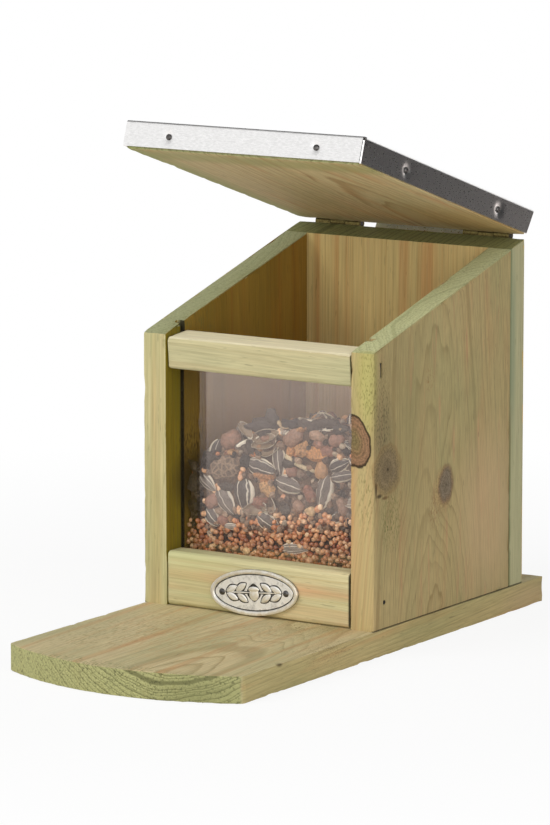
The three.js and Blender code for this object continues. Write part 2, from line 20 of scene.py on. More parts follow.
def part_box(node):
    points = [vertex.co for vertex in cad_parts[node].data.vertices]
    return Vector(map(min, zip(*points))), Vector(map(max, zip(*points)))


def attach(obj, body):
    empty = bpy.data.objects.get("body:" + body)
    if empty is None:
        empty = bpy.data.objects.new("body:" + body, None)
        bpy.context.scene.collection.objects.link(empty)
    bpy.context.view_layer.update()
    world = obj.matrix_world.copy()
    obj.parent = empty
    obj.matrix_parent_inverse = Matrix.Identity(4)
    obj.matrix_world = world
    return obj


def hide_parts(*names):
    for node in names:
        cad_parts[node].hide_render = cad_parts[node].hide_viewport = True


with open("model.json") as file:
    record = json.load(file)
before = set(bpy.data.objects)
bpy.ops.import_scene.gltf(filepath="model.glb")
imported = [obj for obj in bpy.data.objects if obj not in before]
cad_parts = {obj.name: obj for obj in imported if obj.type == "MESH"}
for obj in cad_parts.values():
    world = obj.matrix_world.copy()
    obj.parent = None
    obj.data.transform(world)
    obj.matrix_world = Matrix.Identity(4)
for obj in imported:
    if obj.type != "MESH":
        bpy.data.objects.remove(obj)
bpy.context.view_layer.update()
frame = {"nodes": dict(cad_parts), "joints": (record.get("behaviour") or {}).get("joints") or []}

MM = 0.001
nodes = frame["nodes"]
base_low, base_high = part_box("base_board")
print("base board", [round(side / MM, 1) for side in base_high - base_low], "mm")

# %% [markdown]
# ## Camera
#
# The photograph was taken from a little above and from the right, with a long lens, so the
# uprights stay almost parallel. The turn, height and distance below come from fitting the box's
# corners to the picture. The lens follows from the distance and the size in the frame.

# %% Camera
CAMERA_TURN = math.radians(33.06)
CAMERA_HEIGHT = math.radians(9.57)
CAMERA_ROLL = math.radians(-0.06)
CAMERA_DISTANCE = 2164.3 * MM
CAMERA_TARGET = Vector((-29.72, 46.1, 91.57)) * MM
LENS = 210.4
SENSOR = 36

towards_camera = Vector((
    math.sin(CAMERA_TURN) * math.cos(CAMERA_HEIGHT),
    -math.cos(CAMERA_TURN) * math.cos(CAMERA_HEIGHT),
    math.sin(CAMERA_HEIGHT),
))
camera_data = bpy.data.cameras.new("camera")
camera_data.lens = LENS
camera_data.sensor_width = SENSOR
camera = bpy.data.objects.new("camera", camera_data)
looking = towards_camera.to_track_quat("Z", "Y").to_matrix().to_4x4()
place = Matrix.Translation(CAMERA_TARGET + CAMERA_DISTANCE * towards_camera)
camera.matrix_world = place @ looking @ Matrix.Rotation(CAMERA_ROLL, 4, "Z")
bpy.context.scene.collection.objects.link(camera)
bpy.context.scene.camera = camera
bpy.context.scene.view_settings.view_transform = "Standard"
print("camera at", [round(value, 3) for value in camera.location])

# %% [markdown]
# ## Colours, nodes and objects
#
# A colour is picked as an sRGB hex value, but a shader works with linear light, so one function
# turns the first into the second. Another adds a node to a tree, sets it and links it, and every
# material in the lesson is built with it. Two small ones tell kinds of rays apart and make an
# object of a finished bmesh.

# %% Helpers
MIX_A, MIX_B, MIX_RESULT = 6, 7, 2


def linear(code):
    """Linear colour with alpha 1, from an sRGB hex value."""
    parts = [int(code[start:start + 2], 16) / 255 for start in (1, 3, 5)]
    return tuple(v / 12.92 if v <= 0.04045 else ((v + 0.055) / 1.055) ** 2.4 for v in parts) + (1,)


def node(tree, kind, inputs=None, stops=None, **settings):
    """A shader node with its settings, its input values or links, and its ramp's stops."""
    made = tree.nodes.new("ShaderNode" + kind)
    for key, value in settings.items():
        setattr(made, key, value)
    for key, value in (inputs or {}).items():
        if isinstance(value, bpy.types.NodeSocket):
            tree.links.new(value, made.inputs[key])
        else:
            made.inputs[key].default_value = value
    if stops:
        elements = made.color_ramp.elements
        elements[0].position, elements[-1].position = stops[0][0], stops[-1][0]
        for position, _ in stops[1:-1]:
            elements.new(position)
        for element, (_, shade) in zip(elements, stops):
            element.color = linear(shade) if isinstance(shade, str) else (shade,) * 3 + (1,)
    return made


def new_material(name):
    """An empty material with its Principled BSDF wired to the output."""
    material = bpy.data.materials.new(name)
    material.use_nodes = True
    return material, material.node_tree, material.node_tree.nodes["Principled BSDF"]


def met_by(tree, *kinds):
    """1 for a ray of any of the kinds, 0 for all others."""
    path = node(tree, "LightPath")
    share = path.outputs[f"Is {kinds[0]} Ray"]
    for kind in kinds[1:]:
        share = node(tree, "Math", {0: share, 1: path.outputs[f"Is {kind} Ray"]},
                     operation="MAXIMUM").outputs[0]
    return share


def new_object(mesh, name, material):
    """An object of the scene with one material, made from a bmesh, which is freed."""
    data = bpy.data.meshes.new(name)
    mesh.to_mesh(data)
    mesh.free()
    data.materials.append(material)
    made = bpy.data.objects.new(name, data)
    bpy.context.scene.collection.objects.link(made)
    return made


print("red paint in linear light:", [round(value, 3) for value in linear("#b02020")])

# %% [markdown]
# ## Floor, backdrop and lights
#
# The product stands in a white studio. A large pale floor catches its soft shadow. Camera,
# glossy and transmitted rays also meet a share of plain white there, which keeps the background
# clean without more light on the object. Mirrors see a painted reflection of the floor: a glow
# that is darker near the box, as painted shade of its foot, and a little warm, as painted bounce
# light from the wood. Seen from below the paper is clear, and it lets light through where a board
# lies on it, so the underside can be looked at.
# It lies a hair lower than the base, so that the two faces don't fight.

# %% Floor and backdrop
FLOOR_SIZE = 40
FLOOR_COLOUR = "#f6f6f5"
FLOOR_GAP = 0.05 * MM
CLEAR_WITHIN = 0.4 * MM
WORLD_LIGHT = 0.5
WHITE_RAYS = ("Camera", "Glossy", "Transmission")
# The share of plain white rises from this value to 1 between two distances, in metres
WHITE_SHARE = 0.88
WHITE_FROM = 0.2
WHITE_TO = 0.5
# What mirrors see of the floor, a painted reflection: its brightness at shares of the reach, in
# metres from the box
MIRROR_REACH = 0.8
MIRROR_LEVEL = 1.5
# Painted bounce light: the warmth of the floor's glow in mirrors
PAINTED_BOUNCE_TINT = "#fff5ef"
PAINTED_MIRROR_RAMP = [(0.31, 0.05), (0.38, 0.58), (0.62, 0.58), (0.84, 0.93)]

paper, tree, surface = new_material("floor_paper")
surface.inputs["Base Color"].default_value = linear(FLOOR_COLOUR)
surface.inputs["Roughness"].default_value = 0.9
surface.inputs["Specular IOR Level"].default_value = 0
spot = node(tree, "TexCoord")
far = node(tree, "VectorMath", {0: spot.outputs["Object"]}, operation="LENGTH").outputs["Value"]
white_share = node(tree, "MapRange", {
    "Value": far,
    "From Min": WHITE_FROM,
    "From Max": WHITE_TO,
    "To Min": WHITE_SHARE,
})
share = node(tree, "Math", {0: met_by(tree, *WHITE_RAYS), 1: white_share.outputs[0]},
             operation="MULTIPLY")
# Painted reflection: the glow that glossy rays see, darker near the box as painted shade
reach = node(tree, "MapRange", {"Value": far, "From Max": MIRROR_REACH})
ramp = node(tree, "ValToRGB", {0: reach.outputs[0]}, stops=PAINTED_MIRROR_RAMP)
mirrored = node(tree, "Math", {0: ramp.outputs[0], 1: MIRROR_LEVEL}, operation="MULTIPLY")
level = node(tree, "Mix", {0: met_by(tree, "Glossy"), 2: 1.0, 3: mirrored.outputs[0]})
warm = node(tree, "Mix", {0: met_by(tree, "Glossy"), MIX_A: linear("#ffffff"),
                          MIX_B: linear(PAINTED_BOUNCE_TINT)}, data_type="RGBA")
white = node(tree, "Emission", {"Color": warm.outputs[MIX_RESULT], "Strength": level.outputs[0]})
mixed = node(tree, "MixShader", {0: share.outputs[0], 1: surface.outputs[0], 2: white.outputs[0]})
ray_length = node(tree, "LightPath").outputs["Ray Length"]
touching = node(tree, "Math", {0: ray_length, 1: CLEAR_WITHIN}, operation="LESS_THAN")
from_below = node(tree, "NewGeometry").outputs["Backfacing"]
through = node(tree, "Math", {0: from_below, 1: touching.outputs[0]}, operation="MAXIMUM")
clear = node(tree, "BsdfTransparent")
mixed = node(tree, "MixShader", {0: through.outputs[0], 1: mixed.outputs[0], 2: clear.outputs[0]})
tree.links.new(mixed.outputs[0], tree.nodes["Material Output"].inputs["Surface"])

floor_mesh = bmesh.new()
bmesh.ops.create_grid(floor_mesh, x_segments=1, y_segments=1, size=FLOOR_SIZE / 2)
bmesh.ops.translate(floor_mesh, verts=floor_mesh.verts, vec=(0, 0, -FLOOR_GAP))
floor = new_object(floor_mesh, "studio_floor", paper)

world = bpy.data.worlds.new("studio")
bpy.context.scene.world = world
world.use_nodes = True
tree = world.node_tree
strength = node(tree, "MapRange", {
    "Value": met_by(tree, *WHITE_RAYS),
    "To Min": WORLD_LIGHT,
    "To Max": 1,
})
tree.links.new(strength.outputs[0], tree.nodes["Background"].inputs["Strength"])
tree.nodes["Background"].inputs["Color"].default_value = (1, 1, 1, 1)
print("floor and world made")

# %% [markdown]
# A big soft lamp high at the front left models the shapes, a low one in front looks through the
# window, one fills from the right and one from above. The big lamp itself isn't mirrored, as
# when it stands behind a cloth. Two dark felt cards, at the right rear and high behind, give the
# bent steel something to mirror, as a photographer's flags do. Three more things are there for
# mirrors only. A flag darkens the side flange, a small one at the left ends the pale haze on the
# pane short of the left side, and a grey ceiling draws the line of the fold and keeps the roof
# from going white.

# %% Lamps
LAMPS = {
    "key": {"at": (-0.8, -1.4, 1.1), "size": 1.1, "watts": 12.5},
    "front": {"at": (0.3, -2.1, 0.45), "size": 0.9, "watts": 5},
    "fill": {"at": (1.5, -0.9, 0.6), "size": 1.2, "watts": 8},
    "top": {"at": (0.0, -0.2, 1.9), "size": 1.0, "watts": 4},
}
look_at = Vector((0, 0, 80)) * MM
for name, lamp in LAMPS.items():
    data = bpy.data.lights.new(name, "AREA")
    data.size = lamp["size"]
    data.energy = lamp["watts"]
    thing = bpy.data.objects.new(name, data)
    thing.location = lamp["at"]
    thing.rotation_euler = (thing.location - look_at).to_track_quat("Z", "Y").to_euler()
    thing.visible_glossy = name != "key"
    bpy.context.scene.collection.objects.link(thing)
print(len(LAMPS), "lamps")

# %% Cards
# A card with a facing of its own is there for mirrors only. The others face the box
CARDS = {
    "side_card": {"at": (0.4, 0.42, 0.2), "size": (0.5, 0.5)},
    "top_card": {"at": (-0.75, 0.9, 1.25), "size": (1.2, 1.2)},
    "flange_flag": {"at": (0.45, 0.75, 0.08), "size": (1.1, 0.6), "facing": (1, 0, 0)},
    "pane_flag": {"at": (-0.1, -0.0782, 0.07), "size": (0.04, 0.14), "facing": (1, 0, 0)},
    "ceiling": {"at": (0, 0.65, 1.6), "size": (5, 3.7), "facing": (0, 0, 1)},
}
CEILING_GREY = 0.45

felt, tree, surface = new_material("card_felt")
surface.inputs["Base Color"].default_value = linear("#1e1e20")
surface.inputs["Roughness"].default_value = 1
cloth, tree, surface = new_material("ceiling_cloth")
glow = node(tree, "Emission", {"Strength": CEILING_GREY})
tree.links.new(glow.outputs[0], tree.nodes["Material Output"].inputs["Surface"])
for name, spec in CARDS.items():
    mirrors_only = "facing" in spec
    card_mesh = bmesh.new()
    bmesh.ops.create_grid(card_mesh, x_segments=1, y_segments=1, size=0.5)
    bmesh.ops.scale(card_mesh, vec=(*spec["size"], 1), verts=card_mesh.verts)
    facing = Vector(spec["facing"]) if mirrors_only else look_at - Vector(spec["at"])
    stand = facing.to_track_quat("Z", "Y").to_matrix().to_4x4()
    bmesh.ops.transform(card_mesh, matrix=Matrix.Translation(spec["at"]) @ stand,
                        verts=card_mesh.verts)
    card = new_object(card_mesh, name, cloth if name == "ceiling" else felt)
    card.visible_camera = False
    card.visible_transmission = False
    card.visible_diffuse = card.visible_shadow = not mirrors_only
print(len(CARDS), "cards")

# %% [markdown]
# ## Pine
#
# The boards are planed pine, pressure treated, which tints them pale green and darker where the
# end grain drinks it up. A trunk is a set of rings round a pith, so the material works that out
# in space: the distance from a pith line, warped by noise and pushed aside near knots, is cut
# into rings. Faces along the grain then show stripes and arches, and sawn ends show arcs,
# without a separate picture for each. Every board has a pith of its own.

# %% Space of the trunk
# Fibres, pores and specks of pine are finer than the picture can show, so they are drawn as
# coarse as they need to show. All sizes are in millimetres
FIBRE = (0.7, 0.7, 30)
PORE = (0.9, 0.9, 7)
SPECKLE = 1.1
DASH_LONG = 3.6
AXES = {"X": (1, 0, 0), "Y": (0, 1, 0), "Z": (0, 0, 1)}


def trunk_space(tree, here, grain, pith, tilt):
    """Places in millimetres from the pith, with Z along the grain."""
    turns = {
        "X": Euler((math.radians(tilt[0]), math.radians(90 + tilt[1]), 0)),
        "Y": Euler((math.radians(-90 + tilt[0]), 0, math.radians(tilt[1]))),
        "Z": Euler((math.radians(tilt[0]), math.radians(tilt[1]), 0)),
    }
    return node(tree, "Mapping", {
        "Vector": here,
        "Location": Vector(pith) * MM,
        "Rotation": turns[grain],
        "Scale": (MM, MM, MM),
    }, vector_type="TEXTURE").outputs[0]


def patches(tree, trunk, sizes, detail):
    """Noise in patches of a width, a depth and a length along the grain."""
    spread = node(tree, "VectorMath", {0: trunk, 1: [1 / size for size in sizes]},
                  operation="MULTIPLY")
    return node(tree, "TexNoise", {"Vector": spread.outputs[0], "Scale": 1, "Detail": detail})


def zone_round(tree, here, centre, reach, turn=(0, 0, 0)):
    """A place seen from the middle of an egg, and how far out it is: 1 is on the skin."""
    near = node(tree, "Mapping", {
        "Vector": here,
        "Location": Vector(centre) * MM,
        "Rotation": Euler([math.radians(value) for value in turn]),
        "Scale": Vector(reach) * MM,
    }, vector_type="TEXTURE").outputs[0]
    away = node(tree, "VectorMath", {0: near}, operation="LENGTH")
    return near, away.outputs["Value"]


print("fibres drawn", FIBRE[0], "mm wide")

# %% [markdown]
# Rings are never true circles. A slow wander that runs long along the grain bends them, a quick
# ripple roughens them, and near a knot the grain parts, which a bell of extra distance gives.
# The same bell over a hidden knot makes the arches of a flat-sawn face. Years differ in width
# and in how dark their latewood is.

# %% Rings
WANDER = (26, 26, 150)
RIPPLE = (5, 5, 60)
# Position in the year and strength of the latewood, from one spring to the next
LATEWOOD = [(0, 0.05), (0.5, 0.12), (0.74, 0.5), (0.86, 1), (0.93, 1), (1, 0.05)]


def ring_distance(tree, here, trunk, warp, bends):
    """Distance from the pith, as it is, and as bent rings count it."""
    wander = patches(tree, trunk, WANDER, 2)
    centred = node(tree, "VectorMath", {0: wander.outputs["Color"], 1: (0.5, 0.5, 0.5)},
                   operation="SUBTRACT")
    bent = node(tree, "VectorMath", {0: centred.outputs[0], 1: (warp * 6, warp * 6, 0), 2: trunk},
                operation="MULTIPLY_ADD")
    ripple = patches(tree, trunk, RIPPLE, 2)
    flat = node(tree, "VectorMath", {0: bent.outputs[0], 1: (1, 1, 0)}, operation="MULTIPLY")
    radius = node(tree, "VectorMath", {0: flat.outputs[0]}, operation="LENGTH").outputs["Value"]
    rings = node(tree, "Math", {0: ripple.outputs[0], 1: warp * 0.9, 2: radius},
                 operation="MULTIPLY_ADD").outputs[0]
    for centre, reach, push in bends:
        _, away = zone_round(tree, here, centre, reach)
        squared = node(tree, "Math", {0: away, 1: 2}, operation="POWER")
        minus = node(tree, "Math", {0: squared.outputs[0], 1: -1}, operation="MULTIPLY")
        bell = node(tree, "Math", {0: minus.outputs[0]}, operation="EXPONENT")
        rings = node(tree, "Math", {0: bell.outputs[0], 1: push, 2: rings},
                     operation="MULTIPLY_ADD").outputs[0]
    return radius, rings


def year_rings(tree, radius, rings, ring, contrast, fade):
    """Latewood of every year, the same fading far from the pith, and how much it colours."""
    years = node(tree, "Math", {0: rings, 1: 1 / ring}, operation="MULTIPLY")
    season = node(tree, "TexNoise", {"W": years.outputs[0], "Scale": 0.45, "Detail": 1},
                  noise_dimensions="1D")
    uneven = node(tree, "Math", {0: season.outputs[0], 1: 1.6, 2: years.outputs[0]},
                  operation="MULTIPLY_ADD")
    phase = node(tree, "Math", {0: uneven.outputs[0]}, operation="FRACT")
    year = node(tree, "Math", {0: uneven.outputs[0]}, operation="FLOOR")
    own = node(tree, "TexWhiteNoise", {"W": year.outputs[0]}, noise_dimensions="1D")
    latewood = node(tree, "ValToRGB", {0: phase.outputs[0]}, stops=LATEWOOD).outputs[0]
    strength = node(tree, "MapRange", {
        "Value": own.outputs["Value"],
        "To Min": contrast * 0.4,
        "To Max": contrast,
    })
    faint = node(tree, "MapRange", {
        "Value": radius,
        "From Min": fade[0],
        "From Max": fade[1],
        "To Min": 1,
        "To Max": 0.3,
    })
    fading = node(tree, "Math", {0: latewood, 1: faint.outputs[0]}, operation="MULTIPLY")
    colouring = node(tree, "Math", {0: fading.outputs[0], 1: strength.outputs[0]},
                     operation="MULTIPLY")
    return latewood, fading.outputs[0], colouring.outputs[0]


print("a year's latewood peaks at", LATEWOOD[3][0])

# %% [markdown]
# Over the rings lie warm streaks, the green of the treatment and a little pink. A face can be
# tinted as a whole. The insides are browned that way as painted shade and bounce light, and the
# rail's top is lightened as painted light. Sawn ends drink up the treatment: their rings stand
# out, and open pores make fine dots.

# %% Tints, stains and sawn ends
STREAK, GREEN, PINK = (7, 7, 420), (22, 22, 90), (3, 3, 260)
PINK_TINT = "#c98a6a"
# A face's tint fades in between two values of Y in millimetres. Between these two it has no border
EVERYWHERE = (-201, -200)


def tinted(tree, colour, trunk, layers):
    """Patches of a tint: each layer has its tint, patch size, noise range and amount."""
    for tint, sizes, (low, high), amount in layers:
        patch = patches(tree, trunk, sizes, 2)
        cover = node(tree, "MapRange", {
            "Value": patch.outputs[0],
            "From Min": low,
            "From Max": high,
            "To Max": amount,
        })
        colour = node(tree, "Mix", {0: cover.outputs[0], MIX_A: colour, MIX_B: linear(tint)},
                      data_type="RGBA").outputs[MIX_RESULT]
    return colour


def stain_and_paint_light(tree, colour, place, stains_and_painted_light):
    """Whole faces, named by the way they face, tinted between two values of Y in mm, as the wood's
    own colour and as painted light and shade.
    """
    for facing, tint, amount, (start, full), blend in stains_and_painted_light:
        turned = node(tree, "VectorMath", {0: place.outputs["Normal"], 1: facing},
                      operation="DOT_PRODUCT")
        level = node(tree, "MapRange", {
            "Value": turned.outputs["Value"],
            "From Min": 0.7,
            "From Max": 0.9,
            "To Max": amount,
        })
        parts = node(tree, "SeparateXYZ", {0: place.outputs["Object"]})
        reached = node(tree, "MapRange", {
            "Value": parts.outputs["Y"],
            "From Min": start * MM,
            "From Max": full * MM,
        })
        cover = node(tree, "Math", {0: level.outputs[0], 1: reached.outputs[0]},
                     operation="MULTIPLY")
        colour = node(tree, "Mix", {0: cover.outputs[0], MIX_A: colour, MIX_B: linear(tint)},
                      data_type="RGBA", blend_type=blend).outputs[MIX_RESULT]
    return colour


def sawn_ends(tree, colour, place, grain, fading, end, end_late):
    """Colours the ends by their rings, and tells where the ends are."""
    facing = node(tree, "VectorMath", {0: place.outputs["Normal"], 1: AXES[grain]},
                  operation="DOT_PRODUCT")
    turned = node(tree, "Math", {0: facing.outputs["Value"]}, operation="ABSOLUTE")
    sawn = node(tree, "MapRange", {"Value": turned.outputs[0], "From Min": 0.62, "From Max": 0.82})
    end_share = node(tree, "Math", {0: fading, 1: 0.8}, operation="MULTIPLY")
    end_colour = node(tree, "Mix", {
        0: end_share.outputs[0],
        MIX_A: linear(end),
        MIX_B: linear(end_late),
    }, data_type="RGBA")
    most = node(tree, "Math", {0: sawn.outputs[0], 1: 0.9}, operation="MULTIPLY")
    colour = node(tree, "Mix", {
        0: most.outputs[0],
        MIX_A: colour,
        MIX_B: end_colour.outputs[MIX_RESULT],
    }, data_type="RGBA").outputs[MIX_RESULT]
    return colour, sawn.outputs[0]


print("streaks", STREAK[2], "mm long")

# %% Fibres, pores and dots
def fine_grain(tree, colour, trunk, sawn, speckle):
    """Shades the colour by fibres, pores and the dots of sawn ends. Also gives their relief."""
    dots = node(tree, "TexNoise", {"Vector": trunk, "Scale": 1 / SPECKLE, "Detail": 3})
    dot_share = node(tree, "MapRange", {
        "Value": dots.outputs[0],
        "From Min": 0.3,
        "From Max": 0.48,
        "To Min": 1 - speckle,
        "To Max": 1,
    })
    dotted = node(tree, "Mix", {0: sawn, 2: 1.0, 3: dot_share.outputs[0]}).outputs[0]
    fibre = patches(tree, trunk, FIBRE, 3)
    fibre_shade = node(tree, "MapRange", {
        "Value": fibre.outputs[0],
        "From Min": 0.3,
        "From Max": 0.7,
        "To Min": 0.86,
        "To Max": 1.1,
    })
    pores = patches(tree, trunk, PORE, 1)
    pore_shade = node(tree, "MapRange", {
        "Value": pores.outputs[0],
        "From Min": 0.22,
        "From Max": 0.32,
        "To Min": 0.74,
        "To Max": 1,
    })
    shade = node(tree, "Math", {0: fibre_shade.outputs[0], 1: pore_shade.outputs[0]},
                 operation="MULTIPLY")
    shade = node(tree, "Math", {0: shade.outputs[0], 1: dotted}, operation="MULTIPLY")
    shaded = node(tree, "VectorMath", {0: colour, 3: shade.outputs[0]}, operation="SCALE")
    return shaded.outputs[0], fibre.outputs[0], dotted


print("pores drawn", PORE[2], "mm long")

# %% [markdown]
# A board is told apart by its marks. Plain ones are a patch of colour, or painted shade along a
# joint. Dashed ones are torn grain, short and dark, where the planer lifted the fibres. A knot is
# a rim round a disc with rings, grit and checks of its own.

# %% Marks and knots
def marked(tree, colour, here, trunk, marks):
    """Each mark has its middle and reach in mm, tint, amount, and its dashes' width or 0."""
    for centre, reach, tint, amount, dash_mm in marks:
        _, away = zone_round(tree, here, centre, reach)
        zone = node(tree, "MapRange", {
            "Value": away,
            "From Min": 0.35,
            "From Max": 1,
            "To Min": amount,
            "To Max": 0,
        })
        cover = zone.outputs[0]
        if dash_mm:
            dashes = patches(tree, trunk, (dash_mm, dash_mm, DASH_LONG * dash_mm), 1)
            dash = node(tree, "MapRange", {
                "Value": dashes.outputs[0],
                "From Min": 0.54,
                "From Max": 0.66,
            })
            cover = node(tree, "Math", {0: dash.outputs[0], 1: zone.outputs[0]},
                         operation="MULTIPLY").outputs[0]
        colour = node(tree, "Mix", {0: cover, MIX_A: colour, MIX_B: linear(tint)},
                      data_type="RGBA").outputs[MIX_RESULT]
    return colour


def knotted(tree, colour, here, trunk, knots):
    """Each knot has its middle, rim in mm and tones from the heart out, and may set the rest."""
    for knot in knots:
        near, away = zone_round(tree, here, knot["at"], knot["rim"], knot.get("turn", (0, 0, 0)))
        ragged = knot.get("ragged", 0.34)
        rough = node(tree, "TexNoise", {"Vector": near, "Scale": 2.2, "Detail": 4})
        wavy = node(tree, "Math", {0: rough.outputs[0], 1: ragged, 2: away},
                    operation="MULTIPLY_ADD")
        out = node(tree, "Math", {0: wavy.outputs[0], 1: ragged / 2},
                   operation="SUBTRACT").outputs[0]
        disc = node(tree, "ValToRGB", {0: out}, stops=knot["tones"])
        loops = node(tree, "Math", {0: out, 1: knot.get("loops", 7)}, operation="MULTIPLY")
        loop = node(tree, "Math", {0: loops.outputs[0], 1: 0.5}, operation="PINGPONG")
        loop_shade = node(tree, "MapRange", {
            "Value": loop.outputs[0],
            "From Max": 0.5,
            "To Min": 1 - knot.get("carved", 0.25),
            "To Max": 1.1,
        })
        grit = node(tree, "TexNoise", {"Vector": trunk, "Scale": 1.3, "Detail": 3})
        grit_shade = node(tree, "MapRange", {
            "Value": grit.outputs[0],
            "From Min": 0.35,
            "From Max": 0.55,
            "To Min": 0.62,
            "To Max": 1.08,
        })
        mottled = node(tree, "Math", {0: loop_shade.outputs[0], 1: grit_shade.outputs[0]},
                       operation="MULTIPLY")
        disc = node(tree, "VectorMath", {0: disc.outputs[0], 3: mottled.outputs[0]},
                    operation="SCALE")
        inside = node(tree, "MapRange", {
            "Value": out,
            "From Min": knot["edge"],
            "From Max": knot["edge_end"],
            "To Min": knot.get("cover", 0.95),
            "To Max": 0,
        })
        colour = node(tree, "Mix", {0: inside.outputs[0], MIX_A: colour, MIX_B: disc.outputs[0]},
                      data_type="RGBA").outputs[MIX_RESULT]
    return colour


print("dashes are", DASH_LONG, "times as long as wide")

# %% Pine material
def pine(name, grain, pith, ring, early, late, streak, green, end, end_late, tilt=(0, 0),
         warp=1.6, contrast=0.5, streaks=0.5, greening=0.4, knots=(), pushes=(), speckle=0.25,
         pink=0.0, stains_and_painted_light=(), marks=(), fade=(60, 200)):
    """Planed, treated pine. Grain is the axis that the rings run along, pith is a point on their
    middle line in millimetres, ring is their spacing and tilt leans the line, in degrees."""
    material, tree, surface = new_material(name)
    place = node(tree, "TexCoord")
    here = place.outputs["Object"]
    trunk = trunk_space(tree, here, grain, pith, tilt)
    bends = [(knot["at"], knot["reach"], knot["push"]) for knot in knots] + list(pushes)
    radius, rings = ring_distance(tree, here, trunk, warp, bends)
    latewood, fading, colouring = year_rings(tree, radius, rings, ring, contrast, fade)
    colour = node(tree, "Mix", {0: colouring, MIX_A: linear(early), MIX_B: linear(late)},
                  data_type="RGBA").outputs[MIX_RESULT]
    colour = tinted(tree, colour, trunk, [
        (streak, STREAK, (0.52, 0.72), streaks),
        (green, GREEN, (0.42, 0.68), greening),
        (PINK_TINT, PINK, (0.6, 0.72), pink),
    ])
    colour = stain_and_paint_light(tree, colour, place, stains_and_painted_light)
    colour, sawn = sawn_ends(tree, colour, place, grain, fading, end, end_late)
    colour, fibre, dotted = fine_grain(tree, colour, trunk, sawn, speckle)
    colour = marked(tree, colour, here, trunk, marks)
    colour = knotted(tree, colour, here, trunk, knots)

    # Latewood stands a little proud and shines a little more
    relief = node(tree, "Math", {0: latewood, 1: 0.35, 2: fibre}, operation="MULTIPLY_ADD")
    pitted = node(tree, "Math", {0: relief.outputs[0], 1: dotted}, operation="MULTIPLY")
    bump = node(tree, "Bump", {
        "Height": pitted.outputs[0],
        "Strength": 0.4,
        "Distance": 0.3 * MM,
    })
    gloss = node(tree, "MapRange", {"Value": latewood, "To Min": 0.72, "To Max": 0.58})
    tree.links.new(colour, surface.inputs["Base Color"])
    tree.links.new(gloss.outputs[0], surface.inputs["Roughness"])
    tree.links.new(bump.outputs[0], surface.inputs["Normal"])
    surface.inputs["IOR"].default_value = 1.5
    surface.inputs["Specular IOR Level"].default_value = 0.3
    print(name, "has", len(tree.nodes), "nodes")
    return material


# %% [markdown]
# ## Worn boards
#
# A planed board has straight faces, but its arrises are knocked and slightly uneven. The packed
# solids already have every groove and screw hole, so each board starts as a copy of its solid.
# The copy's loose triangles are merged, cut into a fine mesh by parallel planes, and then the
# points on the arrises are pushed in by noise. A bevel modifier alone would stay dead straight.

# %% Copy of a solid
MERGE = 0.002 * MM
FLAT = math.radians(0.4)


def merged_copy(node_name):
    """The solid of a node as one merged mesh with large faces."""
    mesh = bmesh.new()
    mesh.from_mesh(nodes[node_name].data)
    bmesh.ops.remove_doubles(mesh, verts=mesh.verts, dist=MERGE)
    bmesh.ops.dissolve_limit(mesh, angle_limit=FLAT, verts=mesh.verts, edges=mesh.edges)
    return mesh


def slice_mesh(mesh, step, axes="XYZ"):
    """Cuts the mesh along parallel planes, step apart, so that it can be shaped finely."""
    for axis in axes:
        index = "XYZ".index(axis)
        normal = Vector([float(i == index) for i in range(3)])
        values = [vert.co[index] for vert in mesh.verts]
        low, high = min(values), max(values)
        count = max(1, round((high - low) / step))
        for i in range(1, count):
            point = normal * (low + (high - low) * i / count)
            bmesh.ops.bisect_plane(mesh, geom=mesh.verts[:] + mesh.edges[:] + mesh.faces[:],
                                   plane_co=point, plane_no=normal, dist=MERGE)


blank = merged_copy("base_board")
print("base board:", len(nodes["base_board"].data.polygons), "triangles merged to",
      len(blank.faces), "faces")
blank.free()

# %% Wear
TOUCHING = 0.6 * MM
# Faces whose normals agree less than this meet in an arris
ONE_FACE = 0.97
# The arris is chipped where the noise is higher than this
CHIPPED = 0.18


def other_solids(node_name):
    """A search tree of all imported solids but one, which finds the arrises that touch another."""
    points, faces = [], []
    for other in nodes:
        if other != node_name:
            start = len(points)
            points += [vert.co.copy() for vert in nodes[other].data.vertices]
            faces += [[start + i for i in face.vertices] for face in nodes[other].data.polygons]
    return BVHTree.FromPolygons(points, faces)


def wear_edges(mesh, depth, size, seed, spare=None):
    """Pushes the points on the arrises in by noise: a little everywhere, and deep in places.
    Arrises close to a solid in the spare tree were never knocked and stay as they were sawn."""
    mesh.normal_update()
    shift = Vector((seed * 7.3, seed * 3.1, seed * 5.7))
    moved = {}
    for vert in mesh.verts:
        facing = [face.normal for face in vert.link_faces if face.calc_area() > 0]
        if not any(a.dot(b) < ONE_FACE for a in facing for b in facing):
            continue
        if spare and spare.find_nearest(vert.co, TOUCHING)[0]:
            continue
        slow = noise.noise(vert.co / size + shift)
        quick = noise.noise(vert.co / (size * 0.3) + shift)
        chip = max(0, slow + 0.4 * quick - CHIPPED)
        moved[vert] = depth * (0.25 + 0.15 * quick + 1.7 * chip)
    for vert, push in moved.items():
        vert.co -= vert.normal * max(0, push)
    return len(moved)


print("arrises within", TOUCHING / MM, "mm of a solid stay sharp")

# %% Finished piece
SHARP = math.radians(35)


def finish_piece(mesh, name, material, body, replaced=(), smooth=True):
    """A bmesh made a finished piece that rides on a body and stands for its nodes."""
    if smooth:
        for face in mesh.faces:
            face.smooth = True
        mesh.normal_update()
        for edge in mesh.edges:
            if len(edge.link_faces) == 2:
                edge.smooth = edge.calc_face_angle(0) < SHARP
    piece = new_object(mesh, name, material)
    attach(piece, body)
    if replaced:
        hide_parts(*replaced)
    return piece


def even_shading(piece):
    """Shades each face by its own area, so that cuts and chips don't show on the flats."""
    piece.modifiers.new("even_shading", "WEIGHTED_NORMAL").keep_sharp = True


